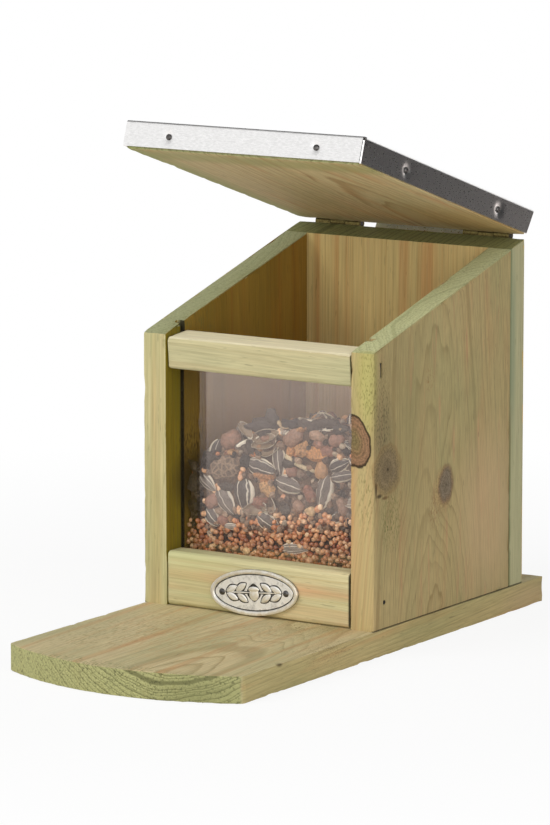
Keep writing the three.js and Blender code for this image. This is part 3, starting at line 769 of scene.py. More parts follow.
def worn_board(node_name, material, body, step=3, depth=0.5, size=9, seed=1, fitted=False):
    """A board as the real one is: the solid's shape with eased, knocked arrises."""
    mesh = merged_copy(node_name)
    slice_mesh(mesh, step * MM)
    spare = other_solids(node_name) if fitted else None
    count = wear_edges(mesh, depth * MM, size * MM, seed, spare)
    piece = finish_piece(mesh, "worn_" + node_name, material, body, [node_name])
    even_shading(piece)
    print(node_name, len(piece.data.polygons), "faces,", count, "points on the arrises")


print("edges sharper than", round(math.degrees(SHARP)), "degrees stay sharp")

# %% [markdown]
# ## Base board
#
# The base is a flat-sawn board with a curved front end. Its top shows arches near the sill,
# where a hidden knot pushed the rings, and its front end shows the rings as a flat smile. The
# pith lies high above the board, right of the middle.

# %% Base board
# Painted shade: a dark line laid along the gaps between boards and beside the pane's groove
GAP_PAINTED_SHADE = "#211c0e"
# Flat-sawn face with arches and torn dashes, and a green end where the treatment sank in
base_pine = pine(
    "treated_pine_base", "Y", pith=(31, -130, 60), tilt=(1.6, 3), ring=1.7,
    early="#cfbf93", late="#86713f", streak="#c08a58", green="#a2a679", end="#b2b178",
    end_late="#585a32", contrast=0.6, streaks=0.6, greening=0.45, warp=1.2, speckle=0.55,
    fade=(54, 100), pushes=[((27, -14, 12), (24, 46, 30), 7)],
    stains_and_painted_light=[((1, 0, 0), "#f4eed7", 0.8, EVERYWHERE, "MULTIPLY")],
    marks=[((-8, -128, 12), (60, 9, 3), "#7e8052", 0.7, 0.8),
           ((0, -130, 5), (70, 12, 9), "#6b6d3e", 0.55, 0.6),
           ((50, -128, 4), (34, 16, 14), "#75774a", 0.45, 0),
           ((-34, -70, 12), (30, 60, 3), "#8a7a4c", 0.5, 0.9),
           ((0, -60, 12), (60, 60, 3), "#b98553", 0.3, 1.6),
           ((32, -22, 12), (28, 30, 3), "#7a683c", 0.6, 0.4),
           ((56, -50, 12), (13, 30, 14), "#76603a", 0.5, 0.3),
           ((60, -88, 12), (2, 3, 1.6), "#4d3f26", 0.8, 0),
           ((58, -55, 12), (3, 7, 1.6), "#6d4a2c", 0.7, 0.8),
           ((61, 120, 4), (10, 30, 9), "#c8ab86", 0.4, 0),
           # Painted shade along the joint with the right side
           ((60.6, 45, 12), (1.2, 400, 0.6), GAP_PAINTED_SHADE, 0.8, 0)],
)
worn_board("base_board", base_pine, "box", seed=1)

# %% [markdown]
# ## Sides
#
# Both sides stand with their grain upright, so the sloped tops are sawn ends with striped arcs.
# The right side has three knots near its front. One is cut open by the front edge. The faces
# that look into the box are browner and darker, as painted shade and bounce light of the inside.

# %% Sides
# Painted shade and warm bounce light: the faces that look into the box are browned by this
INSIDE_PAINTED_SHADE = "#c9ac64"
EDGE_STRIP = "#d3e492"
OILY = "#d08c46"
# The knot that the front edge cuts open, one on the side near it, and a third in its halo
right_knots = [
    {"at": (49.4, -13.9, 95.0), "rim": (8.6, 3.5, 11.9), "turn": (0, -20, 0),
     "reach": (13, 9, 26), "push": 5, "loops": 6, "carved": 0.32, "ragged": 0.26,
     "edge": 0.99, "edge_end": 1.04, "tones": [
         (0, "#756843"), (0.3, "#84704a"), (0.6, "#8f6d50"), (0.88, "#9a7457"),
         (0.93, "#4a3322"), (1, "#1d130c")]},
    {"at": (60, -3.0, 81.5), "rim": (3.5, 11.4, 11.4), "reach": (12, 16, 24), "push": 5,
     "loops": 3, "carved": 0.12, "edge": 0.8, "edge_end": 1.06, "ragged": 0.5, "cover": 0.9,
     "tones": [(0, "#33281c"), (0.08, "#75644a"), (0.5, "#857355"), (0.85, "#8b7752"),
               (1, "#8c6338")]},
    {"at": (60, 43.2, 65.5), "rim": (4, 8, 11), "reach": (9, 9, 9), "push": 0,
     "loops": 2, "carved": 0, "edge": 0.6, "edge_end": 1.1, "ragged": 0.6, "cover": 0.6,
     "tones": [(0, "#b59c6c"), (0.7, "#b39666"), (1, "#96704a")]},
    {"at": (60, 45.8, 67.6), "rim": (4, 6.6, 9.2), "turn": (-8, 0, 0), "reach": (14, 12, 26),
     "push": 6, "loops": 3, "carved": 0.12, "edge": 0.82, "edge_end": 1.08, "ragged": 0.4,
     "cover": 0.9, "tones": [(0, "#3d342d"), (0.1, "#776a5a"), (0.6, "#817361"),
                             (0.9, "#84694e"), (1, "#7d5a3c")]},
]
# Green and torn patches, cracks round the knots, painted shade along the joints and beside the
# pane's groove, and the oily inside
right_marks = [
    ((57, -13.9, 122), (9, 4, 34), "#b7b468", 0.6, 0),
    ((57.5, -13.9, 118), (8, 3, 30), "#6c6a34", 0.6, 0.5),
    ((52, -13.9, 137), (9, 4, 5), "#8d8038", 0.7, 0.8),
    ((56, -13.9, 70), (6, 3, 19), "#5b602c", 0.7, 0.6),
    ((50, -13.9, 45), (3, 3, 40), "#c0875c", 0.25, 0),
    ((60, 2, 100), (3, 42, 75), "#8a7b52", 0.32, 0),
    ((60, 84, 48), (3, 34, 50), "#d6b68c", 0.5, 0),
    ((60, -6, 97), (3, 10, 22), "#71684c", 0.45, 0),
    ((60, -7, 104), (3, 9, 30), "#4d442e", 0.75, 0.5),
    ((54, -13.9, 40), (12, 3, 75), "#e2c88e", 0.2, 0),
    ((60, 0, 60), (3, 11, 18), "#5f6a34", 0.85, 0.5),
    ((60, 37, 58), (3, 7, 12), "#85522f", 0.7, 0.5),
    ((60, 32, 117), (3, 5, 7), "#8f6237", 0.6, 0.5),
    ((60, 8.5, 76), (3, 1.6, 8), "#9c5f38", 0.7, 0.5),
    ((60, -12, 76), (1.5, 1.0, 8), "#2f2115", 0.85, 0),
    ((60, -9.5, 71), (1.5, 3, 1.2), "#2f2115", 0.8, 0),
    ((60, -5, 69.6), (1.5, 3.5, 1), "#5b3a20", 0.7, 0),
    ((60, -2.6, 82.6), (1.5, 0.7, 1.6), "#1f150c", 0.9, 0),
    # Painted shade in the joints with the base and the back, and beside the pane's groove
    ((60, 45, 12), (1.6, 400, 0.6), GAP_PAINTED_SHADE, 0.95, 0),
    ((60.2, 101.4, 45), (1.6, 0.75, 95), GAP_PAINTED_SHADE, 0.9, 0),
    ((48, -2.0, 75), (1.2, 0.8, 400), GAP_PAINTED_SHADE, 0.8, 0),
    ((48, 30, 70), (3, 70, 42), OILY, 0.5, 0),
]
# Brown-green board with calm arcs on its pale sawn top
right_pine = pine(
    "treated_pine_right", "Z", pith=(99.5, 33, 80), tilt=(0.5, 5.2), ring=1.8,
    early="#baa675", late="#7f6a3a", streak="#b98a5e", green="#969b6c", end="#cbcf9f",
    end_late="#b2b788", contrast=0.55, streaks=0.25, greening=0.35, warp=1.5, knots=right_knots,
    pink=0.3, marks=right_marks, fade=(70, 220),
    # The inside face is browned as painted shade and bounce light
    stains_and_painted_light=[((-1, 0, 0), INSIDE_PAINTED_SHADE, 1, EVERYWHERE, "MULTIPLY")],
)
# Paler board with straight stripes. The oily marks are on its inside, where the feed lies
left_pine = pine(
    "treated_pine_left", "Z", pith=(-150, 60, 60), tilt=(1, 0.5), ring=1.7,
    early="#cbbe8f", late="#8f8a50", streak="#bd9a64", green="#a2a771", end="#adb188",
    end_late="#8d9469", contrast=0.6, streaks=0.45, greening=0.5, warp=0.9, pink=0.2,
    marks=[((-48, 0, 135), (6, 30, 12), "#6d6f3c", 0.6, 1.0),
           ((-48, 60, 78), (3, 45, 36), OILY, 0.25, 0),
           # Painted shade on the inside wall at the height of the feed
           ((-48, 5, 66), (3, 17, 17), "#2c1d0b", 0.7, 0),
           ((-48, 7, 82), (3, 15, 15), "#23170a", 0.85, 0.6),
           # Painted shade beside the pane's groove and in the joint with the base
           ((-48, -2.0, 75), (1.2, 0.9, 400), GAP_PAINTED_SHADE, 0.9, 0),
           ((-49, 0.9, 75), (3, 0.6, 400), GAP_PAINTED_SHADE, 0.95, 0),
           ((-60, 45, 12), (1.6, 400, 0.7), GAP_PAINTED_SHADE, 0.8, 0)],
    # The inside face is browned as painted shade and bounce light, and its front strip greened
    stains_and_painted_light=[((1, 0, 0), INSIDE_PAINTED_SHADE, 1, EVERYWHERE, "MULTIPLY"),
            ((1, 0, 0), EDGE_STRIP, 1, (-0.5, -2), "MULTIPLY")],
)
worn_board("right_side", right_pine, "box", depth=0.6, seed=2, fitted=True)
worn_board("left_side", left_pine, "box", depth=0.8, seed=5, fitted=True)

# %% [markdown]
# ## Back panel, sill, rail and lid board
#
# The back panel shows warm upright streaks inside the box. The sill and the rail are paler
# strips laid across, and the lid board's grain runs from front to back.

# %% Back panel
# Warm upright streaks, and grey-green edges
back_pine = pine(
    "treated_pine_back", "Z", pith=(-135, 132, 80), tilt=(0.4, 0.5), ring=3.1,
    early="#d4bc7e", late="#a97c3a", streak="#c5874e", green="#9a9c68", end="#858b5c",
    end_late="#565c34", contrast=0.55, streaks=0.6, greening=0.15, warp=1.0, pink=0.1,
    fade=(150, 400),
    stains_and_painted_light=[((1, 0, 0), "#b3b795", 0.7, EVERYWHERE, "MIX"),
            ((-1, 0, 0), "#b3b795", 0.7, EVERYWHERE, "MIX")],
    marks=[((60, 101.4, 75), (2, 1.6, 400), "#6b7448", 0.8, 0),
           ((60, 103, 120), (2, 4, 60), "#8b9678", 0.6, 0),
           ((0, 101.4, 82), (90, 3, 34), OILY, 0.2, 0),
           # Painted shade in the joint with the base
           ((0, 107, 12), (400, 400, 0.8), GAP_PAINTED_SHADE, 0.8, 0)],
)
worn_board("back_panel", back_pine, "box", seed=3, fitted=True)

# %% Sill and rail
# Pale strip with pink streaks that run across
sill_pine = pine(
    "treated_pine_sill", "X", pith=(0, 30, -12), tilt=(0.6, 1.0), ring=3.4,
    early="#d8cc9e", late="#bba26e", streak="#d09a70", green="#aab27f", end="#b5b384",
    end_late="#8a8c5c", contrast=0.55, streaks=0.7, greening=0.55, warp=1.6, pink=0.3,
    marks=[((-44, -13.9, 32), (34, 4, 14), "#b9bf86", 0.45, 0),
           # Painted shade in the gaps at both ends and along the joint with the base
           ((47.8, -13.9, 24), (1.1, 3, 300), GAP_PAINTED_SHADE, 0.95, 0),
           ((-47.8, -13.9, 24), (0.7, 3, 300), GAP_PAINTED_SHADE, 0.7, 0),
           ((0, -13.9, 12), (400, 3, 0.7), GAP_PAINTED_SHADE, 0.8, 0)],
)
# Greyer strip with a small knot, its top face lightened as painted light
rail_pine = pine(
    "treated_pine_rail", "X", pith=(-18, 22, 96), tilt=(1.5, 1.6), ring=2.9,
    early="#c8bd92", late="#a49468", streak="#c79f74", green="#adb189", end="#b5b384",
    end_late="#8a8c5c", contrast=0.42, streaks=0.3, greening=0.35, warp=1.8,
    # Painted light: the top face is lightened
    stains_and_painted_light=[((0, 0, 1), "#fff6d4", 0.85, EVERYWHERE, "MIX")],
    # Painted shade in the gaps at both ends
    marks=[((47.8, -10, 130), (0.8, 30, 30), GAP_PAINTED_SHADE, 0.8, 0),
           ((-47.8, -10, 130), (0.6, 30, 30), GAP_PAINTED_SHADE, 0.6, 0)],
    knots=[{"at": (-20, 2, 128), "rim": (3.2, 2.6, 2.6), "reach": (9, 5, 5), "push": 2,
            "ragged": 0.4, "edge": 0.7, "edge_end": 1.1, "cover": 0.8,
            "tones": [(0, "#6d4a30"), (0.4, "#9a6f4c"), (1, "#b88c64")]}],
)
worn_board("front_sill", sill_pine, "box", step=2, depth=0.25, seed=6)
worn_board("top_rail", rail_pine, "box", step=2, depth=0.25, seed=7)

# %% Lid board
# Strong rings that lean, and green where the wood shows under the sheet
lid_pine = pine(
    "treated_pine_lid", "Y", pith=(22, 40, 215), tilt=(-22, 1), ring=3.0,
    early="#d0bc8c", late="#a17748", streak="#c48a5a", green="#9fa26d", end="#a8a878",
    end_late="#7f8050", contrast=0.75, streaks=0.45, greening=0.25, warp=1.6, pink=0.2,
    marks=[((52, 92, 185), (44, 44, 60), "#b4924a", 0.4, 0),
           ((-62, 40, 200), (16, 400, 200), "#8f9a58", 0.55, 0),
           ((0, -16, 212), (400, 12, 30), "#8f9a58", 0.4, 0)],
)
worn_board("lid_board", lid_pine, "lid", seed=4)

# %% [markdown]
# ## Window pane
#
# The pane is a clear acrylic sheet. Light has to reach the feed behind it, so its shadow rays
# pass through a transparent shader, while all others see the glossy, clear plastic. Cheap
# plastic mirrors more than glass at this angle. It mirrors the pale floor, a little warm, which
# lies as a haze over the feed and makes the inside paler.

# %% Pane
# Nearly clear, glossy and twice mirroring: once on the sheet and once on its coat
pane_material, tree, surface = new_material("clear_acrylic")
surface.inputs["Base Color"].default_value = linear("#f4f3f2")
surface.inputs["Roughness"].default_value = 0.03
surface.inputs["IOR"].default_value = 1.49
surface.inputs["Specular IOR Level"].default_value = 1
surface.inputs["Specular Tint"].default_value = linear("#ffeee7")
surface.inputs["Transmission Weight"].default_value = 1
surface.inputs["Coat Weight"].default_value = 1
surface.inputs["Coat Roughness"].default_value = 0.03
surface.inputs["Coat IOR"].default_value = 1.6
clear = node(tree, "BsdfTransparent", {"Color": (0.94, 0.94, 0.94, 1)})
mixed = node(tree, "MixShader", {
    0: met_by(tree, "Shadow"),
    1: surface.outputs[0],
    2: clear.outputs[0],
})
tree.links.new(mixed.outputs[0], tree.nodes["Material Output"].inputs["Surface"])
nodes["window_pane"].material_slots[0].material = pane_material
pane_low, pane_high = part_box("window_pane")
print("pane of", [round(side / MM, 1) for side in pane_high - pane_low], "mm")

# %% [markdown]
# ## Metals
#
# The roof is galvanised steel: a dull zinc skin with faint crystals and rolling lines. The
# screws and nails are zinc plated and darker, the hinge leaves have the yellow skin of a
# passivated plating, darkened further as painted shade, and the oval plate is cast, dark in its
# hollows and bright where it was rubbed. Metals keep the default IOR.

# %% Metal materials
def metal(name, colour, dark, roughness, grain_mm, contrast, dull=0.1, scratch=(1, 1, 1)):
    """A plated metal, clouded in grain_mm patches that scratch stretches along a direction."""
    material, tree, surface = new_material(name)
    place = node(tree, "TexCoord")
    stretched = node(tree, "VectorMath", {0: place.outputs["Object"], 1: scratch},
                     operation="MULTIPLY")
    cloud = node(tree, "TexNoise", {
        "Vector": stretched.outputs[0],
        "Scale": 1 / (grain_mm * MM),
        "Detail": 4,
    })
    share = node(tree, "MapRange", {
        "Value": cloud.outputs[0],
        "From Min": 0.35,
        "From Max": 0.65,
        "To Max": contrast,
    })
    tint = node(tree, "Mix", {0: share.outputs[0], MIX_A: linear(colour), MIX_B: linear(dark)},
                data_type="RGBA")
    shine = node(tree, "MapRange", {
        "Value": cloud.outputs[0],
        "From Min": 0.35,
        "From Max": 0.65,
        "To Min": roughness,
        "To Max": roughness + dull,
    })
    bump = node(tree, "Bump", {
        "Height": cloud.outputs[0],
        "Strength": 0.1,
        "Distance": 0.01 * MM,
    })
    tree.links.new(tint.outputs[MIX_RESULT], surface.inputs["Base Color"])
    tree.links.new(shine.outputs[0], surface.inputs["Roughness"])
    tree.links.new(bump.outputs[0], surface.inputs["Normal"])
    surface.inputs["Metallic"].default_value = 1
    return material


# Almost white, clouded in long soft crystals that catch the lamps
galvanised = metal("galvanised_steel", "#f8f7f6", "#e2e1e0", 0.27, 0.8, 0.7, dull=0.04,
                   scratch=(0.45, 0.45, 1.7))
# Dark grey with a dull shine
zinc = metal("zinc_plated_steel", "#6c6a68", "#434140", 0.35, 0.8, 0.7)
# Olive brown, duller still, and darkened as painted shade
yellow_zinc_and_shade = metal("yellow_zinc_with_painted_shade", "#7d7247", "#4d4528", 0.45, 0.8, 0.7)
print("three metals")

# %% [markdown]
# ## Roof sheet and its nails
#
# The sheet is folded round the lid board, and each nail has pulled it in, so a shallow dimple
# rings every head. The solid's copy is cut finely round the nails and the points there sink on
# a bell curve. The free edge of the rear lip is curled in a little, as a folded sheet's is. The
# lid's own frame comes from its hinge and from the slope of its board.

# %% Lid frame
hinge = frame["joints"][0]
hinge_point = Vector(hinge["pos_m"])
largest = max(nodes["lid_board"].data.polygons, key=lambda face: face.area)
board_normal = largest.normal if largest.normal.z > 0 else -largest.normal
lid_slope = math.atan2(-board_normal.y, board_normal.z)
lid_place = Matrix.Translation(hinge_point) @ Matrix.Rotation(lid_slope, 4, "X")
lid_home = lid_place.inverted()
print("lid leans", round(math.degrees(lid_slope), 2), "degrees")

# %% Roof sheet
NAIL_REACH = 2.6 * MM
NAIL_DIMPLE = 0.75 * MM
FINE_STEP = 0.9 * MM
FINE_REACH = 7 * MM
# The cuts run over the whole flange that a nail sits in, and no deeper than its two skins
FLANGE_REACH = 160 * MM
SKIN = 1.5 * MM
SHEET_THICK = 0.6
SHEET_STEP = 6
LIP_FREE = 2.4 * MM
LIP_CURL = 0.6 * MM


def corners_of(node_name, home=None):
    """Low and high corner of a node's box, in the frame of the object or of the lid."""
    turn = home or Matrix.Identity(4)
    points = [turn @ vert.co for vert in nodes[node_name].data.vertices]
    low = [min(point[i] for point in points) for i in range(3)]
    high = [max(point[i] for point in points) for i in range(3)]
    return Vector(low), Vector(high)


def dimple_mesh(mesh, spots):
    """Cuts the sheet finely round each spot and sinks it there along the spot's direction."""
    for spot, direction in spots:
        for index in range(3):
            if abs(direction[index]) > 0.5:
                continue
            normal = Vector([float(i == index) for i in range(3)])
            steps = round(FINE_REACH / FINE_STEP)
            for i in range(-steps, steps + 1):
                near = [face for face in mesh.faces
                        if (face.calc_center_median() - spot).length < FLANGE_REACH
                        and abs(face.normal.dot(direction)) > 0.9
                        and abs((face.calc_center_median() - spot).dot(direction)) < SKIN]
                edges = list({edge for face in near for edge in face.edges})
                verts = list({vert for face in near for vert in face.verts})
                bmesh.ops.bisect_plane(mesh, geom=verts + edges + near,
                                       plane_co=spot + normal * i * FINE_STEP,
                                       plane_no=normal, dist=MERGE)
        for vert in mesh.verts:
            offset = vert.co - spot
            depth = offset.dot(direction)
            if abs(depth) > SKIN:
                continue
            across = (offset - direction * depth).length
            vert.co += direction * NAIL_DIMPLE * math.exp(-((across / NAIL_REACH) ** 2))


print("dimples", NAIL_DIMPLE / MM, "mm deep")

# %% Curled lip and dimples
sheet = merged_copy("roof_sheet")
bmesh.ops.transform(sheet, matrix=lid_home, verts=sheet.verts)
lip_end = min(vert.co.z for vert in sheet.verts)
bmesh.ops.bisect_plane(sheet, geom=sheet.verts[:] + sheet.edges[:] + sheet.faces[:],
                       plane_co=Vector((0, 0, lip_end + LIP_FREE)), plane_no=Vector((0, 0, 1)),
                       dist=MERGE)
for vert in sheet.verts:
    if vert.co.z < lip_end + MERGE:
        vert.co.y -= LIP_CURL
slice_mesh(sheet, SHEET_STEP * MM, "XY")
nail_spots = []
for number in range(1, 7):
    low, high = corners_of(f"roof_nail_{number}", lid_home)
    middle = (low + high) / 2
    if high.y - low.y > high.x - low.x:
        nail_spots.append((Vector((middle.x, low.y, middle.z)), Vector((0, 1, 0))))
    else:
        side = math.copysign(1, middle.x)
        reach = high.x if side > 0 else low.x
        nail_spots.append((Vector((reach, middle.y, middle.z)), Vector((-side, 0, 0))))
dimple_mesh(sheet, nail_spots)
bmesh.ops.transform(sheet, matrix=lid_place, verts=sheet.verts)
roof = finish_piece(sheet, "folded_sheet", galvanised, "lid", ["roof_sheet"])
even_shading(roof)
print("roof sheet with", len(roof.data.polygons), "faces and", len(nail_spots), "dimples")

# %% [markdown]
# ## Nails, pins, brads and screws
#
# Small turned parts share one way of making: a half profile is spun round its axis. Nails and
# pins have low domed heads. Screws have flat countersunk heads with a cross pressed in.

# %% Lathe
TURN_STEPS = 20


def lathe(profile):
    """A turned body: its profile of radius and depth pairs, from the head to the tip."""
    mesh = bmesh.new()
    points = [mesh.verts.new((radius * MM, 0, depth * MM)) for radius, depth in profile]
    edges = [mesh.edges.new(pair) for pair in zip(points, points[1:])]
    bmesh.ops.spin(mesh, geom=points + edges, cent=(0, 0, 0), axis=(0, 0, 1), steps=TURN_STEPS,
                   angle=2 * math.pi, use_merge=True)
    bmesh.ops.remove_doubles(mesh, verts=mesh.verts, dist=MERGE)
    return mesh


def driven(mesh, place, direction):
    """The turned body in its place, with its tip in the direction it was driven."""
    bmesh.ops.recalc_face_normals(mesh, faces=mesh.faces)
    turn = direction.to_track_quat("Z", "Y").to_matrix().to_4x4()
    bmesh.ops.transform(mesh, matrix=Matrix.Translation(place) @ turn, verts=mesh.verts)
    return mesh


def join_meshes(meshes):
    """One bmesh out of many."""
    whole = bmesh.new()
    for part in meshes:
        data = bpy.data.meshes.new("part")
        part.to_mesh(data)
        part.free()
        whole.from_mesh(data)
        bpy.data.meshes.remove(data)
    return whole


def dome(head, thickness, shank, length):
    """Profile of a nail with a low domed head. The depth is 0 under the head."""
    crown = [(head * math.sin(a), -thickness * math.cos(a))
             for a in (math.radians(step) for step in range(0, 90, 15))]
    return crown + [(head, 0), (shank, 0), (shank, length * 0.85), (0, length)]


print(len(dome(2, 1, 1, 10)), "points in a nail's profile")

# %% Roof nails
# Radius of the head, its height, radius of the shank and length, in millimetres
ROOF_NAIL = (1.35, 0.75, 0.7, 11)
nails = []
for spot, direction in nail_spots:
    turned_in = lid_place.to_3x3() @ direction
    seat = lid_place @ (spot + direction * (NAIL_DIMPLE + SHEET_THICK * MM))
    nails.append(driven(lathe(dome(*ROOF_NAIL)), seat, turned_in))
finish_piece(join_meshes(nails), "roof_nails", zinc, "lid",
             [f"roof_nail_{number}" for number in range(1, 7)])
print(len(nails), "roof nails")

# %% Screws with a cross recess
# Shares of the head's radius: how far an arm of the cross reaches, and half its width
CROSS_ARM = 0.62
CROSS_HALF = 0.17


def cross_screw(head, depth, shank, length, place, direction):
    """A countersunk screw: a turned body closed by a flat head with a cross pressed in."""
    mesh = lathe([(head, 0), (shank, depth), (shank, length * 0.86), (0, length)])
    rim = [edge for edge in mesh.edges if edge.is_boundary]
    arm, half = CROSS_ARM * head * MM, CROSS_HALF * head * MM
    corners = []
    for quarter in range(4):
        turn = Matrix.Rotation(quarter * math.pi / 2, 3, "Z")
        corners += [turn @ Vector(point) for point in ((half, half, 0), (half, arm, 0),
                                                       (-half, arm, 0))]
    cross = [mesh.verts.new(corner) for corner in corners]
    recess = mesh.faces.new(cross)
    bmesh.ops.bridge_loops(mesh, edges=rim + list(recess.edges))
    sunk = bmesh.ops.extrude_discrete_faces(mesh, faces=[recess])["faces"][0]
    for vert in sunk.verts:
        vert.co = Vector((vert.co.x * 0.62, vert.co.y * 0.62, depth * 0.8 * MM))
    return driven(mesh, place, direction)


def screw_group(name, node_names, sizes, direction, body, home=None):
    """Screws that stand for the nodes of a group, all driven in one direction."""
    made = []
    index = max(range(3), key=lambda i: abs(direction[i]))
    for node_name in node_names:
        low, high = corners_of(node_name, home)
        spot = (low + high) / 2
        spot[index] = low[index] if direction[index] > 0 else high[index]
        place = lid_place @ spot if home else spot
        turned_in = lid_place.to_3x3() @ direction if home else direction
        made.append(cross_screw(*sizes, place, turned_in))
    finish_piece(join_meshes(made), name, zinc, body, node_names)
    print(name, len(node_names))


print("cross recess", CROSS_ARM, "of the head")

# %% Screws
# Radius of the head, its depth, radius of the shank and length, in millimetres
HINGE_SCREW = (2, 1.2, 1, 9)
BASE_SCREW = (3.5, 2.8, 1.75, 38)
screw_group("panel_hinge_screws", [f"panel_leaf_screw_{number}" for number in range(1, 5)],
            HINGE_SCREW, Vector((0, -1, 0)), "box")
screw_group("lid_hinge_screws", [f"lid_leaf_screw_{number}" for number in range(1, 5)],
            HINGE_SCREW, Vector((0, -1, 0)), "lid", lid_home)
screw_group("base_screws", [f"base_screw_{number}" for number in range(1, 7)],
            BASE_SCREW, Vector((0, 0, 1)), "box")

# %% [markdown]
# ## Hinges, brads and staples
#
# The hinge leaves, pins, brads and staples have the right shape in the imported model already.
# They only need a finish: the leaves the yellow skin of a passivated plating, darkened as
# painted shade, the rest plain zinc.

# %% Finish for the imported fixings
HINGE_LEAVES = ["left_panel_leaf", "right_panel_leaf", "left_lid_leaf", "right_lid_leaf"]
PLAIN_ZINC = [
    "left_hinge_pin", "right_hinge_pin", "sill_brad_1", "sill_brad_2",
    "rail_staple_1", "rail_staple_2",
] + [f"back_brad_{number}" for number in range(1, 7)]
# The leaves' finish holds painted shade
for node_name in HINGE_LEAVES:
    nodes[node_name].material_slots[0].material = yellow_zinc_and_shade
for node_name in PLAIN_ZINC:
    nodes[node_name].material_slots[0].material = zinc
print(len(HINGE_LEAVES) + len(PLAIN_ZINC), "packed fixings finished")

# %% [markdown]
# ## Oval plate
#
# A small cast plate sits on the sill. It is an oval with a raised rim, a thin groove inside it
# and a low relief. The relief here is a plain leaf sprig with a nut. Casting leaves a dark skin
# in the hollows, and rubbing brightens whatever stands proud, so the material follows depth.

# %% Plate material
PLATE_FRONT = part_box("name_plate")[0].y
PLATE_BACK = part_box("name_plate")[1].y

# Grit of half a millimetre and rubbed patches of 2.4 mm, as counts to the metre
GRIT = 1900
RUBBED = 420

# Bright where it stands proud, dark and rough in the hollows
cast, tree, surface = new_material("cast_pewter")
place = node(tree, "TexCoord")
parts = node(tree, "SeparateXYZ", {0: place.outputs["Object"]})
grit = node(tree, "TexNoise", {"Vector": place.outputs["Object"], "Scale": GRIT, "Detail": 3})
lifted = node(tree, "Math", {0: grit.outputs[0], 1: 0.28 * MM, 2: parts.outputs["Y"]},
              operation="MULTIPLY_ADD")
hollow = node(tree, "MapRange", {
    "Value": lifted.outputs[0],
    "From Min": PLATE_FRONT + 0.3 * MM,
    "From Max": PLATE_FRONT + 1.1 * MM,
})
worn = node(tree, "TexNoise", {"Vector": place.outputs["Object"], "Scale": RUBBED, "Detail": 4})
rubbed = node(tree, "MapRange", {
    "Value": worn.outputs[0],
    "From Min": 0.35,
    "From Max": 0.62,
    "To Min": -0.18,
    "To Max": 0.28,
})
level = node(tree, "Math", {0: hollow.outputs[0], 1: rubbed.outputs[0]}, operation="ADD")
tone = node(tree, "ValToRGB", {0: level.outputs[0]}, stops=[
    (0, "#eee8da"), (0.3, "#f8f6f0"), (0.6, "#fbfaf7"), (0.85, "#e2e1dd"), (1, "#9f9d98"),
])
rough = node(tree, "MapRange", {"Value": hollow.outputs[0], "To Min": 0.52, "To Max": 0.7})
bump = node(tree, "Bump", {"Height": grit.outputs[0], "Strength": 0.3, "Distance": 0.08 * MM})
tree.links.new(tone.outputs[0], surface.inputs["Base Color"])
tree.links.new(rough.outputs[0], surface.inputs["Roughness"])
tree.links.new(bump.outputs[0], surface.inputs["Normal"])
surface.inputs["Metallic"].default_value = 1
# The skin that stays in the groove and round the leaves
hollow_dark = metal("dark_casting_skin", "#55524e", "#3b3936", 0.5, 0.7, 0.8)
print("plate is", round((PLATE_BACK - PLATE_FRONT) / MM, 2), "mm thick")

# %% Place of the plate
PLATE_HALF = (22.75, 10.25)
PLATE_TALL = (PLATE_BACK - PLATE_FRONT) / MM
RIM_WIDTH = 1.7
RIM_TALL = 0.6
FIELD = PLATE_TALL - RIM_TALL
# Middle and turn of each leaf, in millimetres and degrees
LEAVES = [(-6.6, 2.3, 32), (-6.2, -2.4, -34), (6.6, 2.3, 148), (6.2, -2.4, 214),
          (-11.6, 1.5, 24), (-11.4, -1.9, -26), (11.6, 1.5, 156), (11.4, -1.9, 206)]

pin_left, pin_right = [sum(corners_of(f"plate_pin_{number}"), Vector()) / 2
                       for number in (1, 2)]
along = (pin_right - pin_left).normalized() * math.copysign(1, pin_right.x - pin_left.x)
plate_middle = (pin_left + pin_right) / 2
plate_middle.y = PLATE_BACK
outwards = Vector((0, -1, 0))
plate_place = Matrix.Translation(plate_middle) @ Matrix(
    (along, outwards.cross(along), outwards)).transposed().to_4x4()

print("pins", round((pin_right - pin_left).length / MM, 1), "mm apart")

# %% Plate blank
plate = bmesh.new()
bmesh.ops.create_circle(plate, cap_ends=True, segments=96, radius=MM)
bmesh.ops.scale(plate, vec=(PLATE_HALF[0], PLATE_HALF[1], 1), verts=plate.verts)
back = plate.faces[:]
front = bmesh.ops.extrude_face_region(plate, geom=back)["geom"]
front_face = [part for part in front if isinstance(part, bmesh.types.BMFace)]
bmesh.ops.translate(plate, vec=(0, 0, PLATE_TALL * MM),
                    verts=[part for part in front if isinstance(part, bmesh.types.BMVert)])
outer_edges = list(front_face[0].edges)
bmesh.ops.inset_region(plate, faces=front_face, thickness=RIM_WIDTH * MM, use_even_offset=True)
inner_edges = list(front_face[0].edges)
bmesh.ops.inset_region(plate, faces=front_face, thickness=0.25 * MM, depth=-(RIM_TALL + 0.15) * MM,
                       use_even_offset=True)
groove = bmesh.ops.inset_region(plate, faces=front_face, thickness=0.45 * MM,
                                use_even_offset=True)["faces"]
for face in groove:
    face.material_index = 1
bmesh.ops.inset_region(plate, faces=front_face, thickness=0.2 * MM, depth=0.15 * MM,
                       use_even_offset=True)
bmesh.ops.bevel(plate, geom=outer_edges + inner_edges, offset=0.32 * MM, offset_type="OFFSET",
                affect="EDGES", segments=3, profile=0.5, material=-1)
bmesh.ops.recalc_face_normals(plate, faces=plate.faces)
print("plate blank", len(plate.faces), "faces")

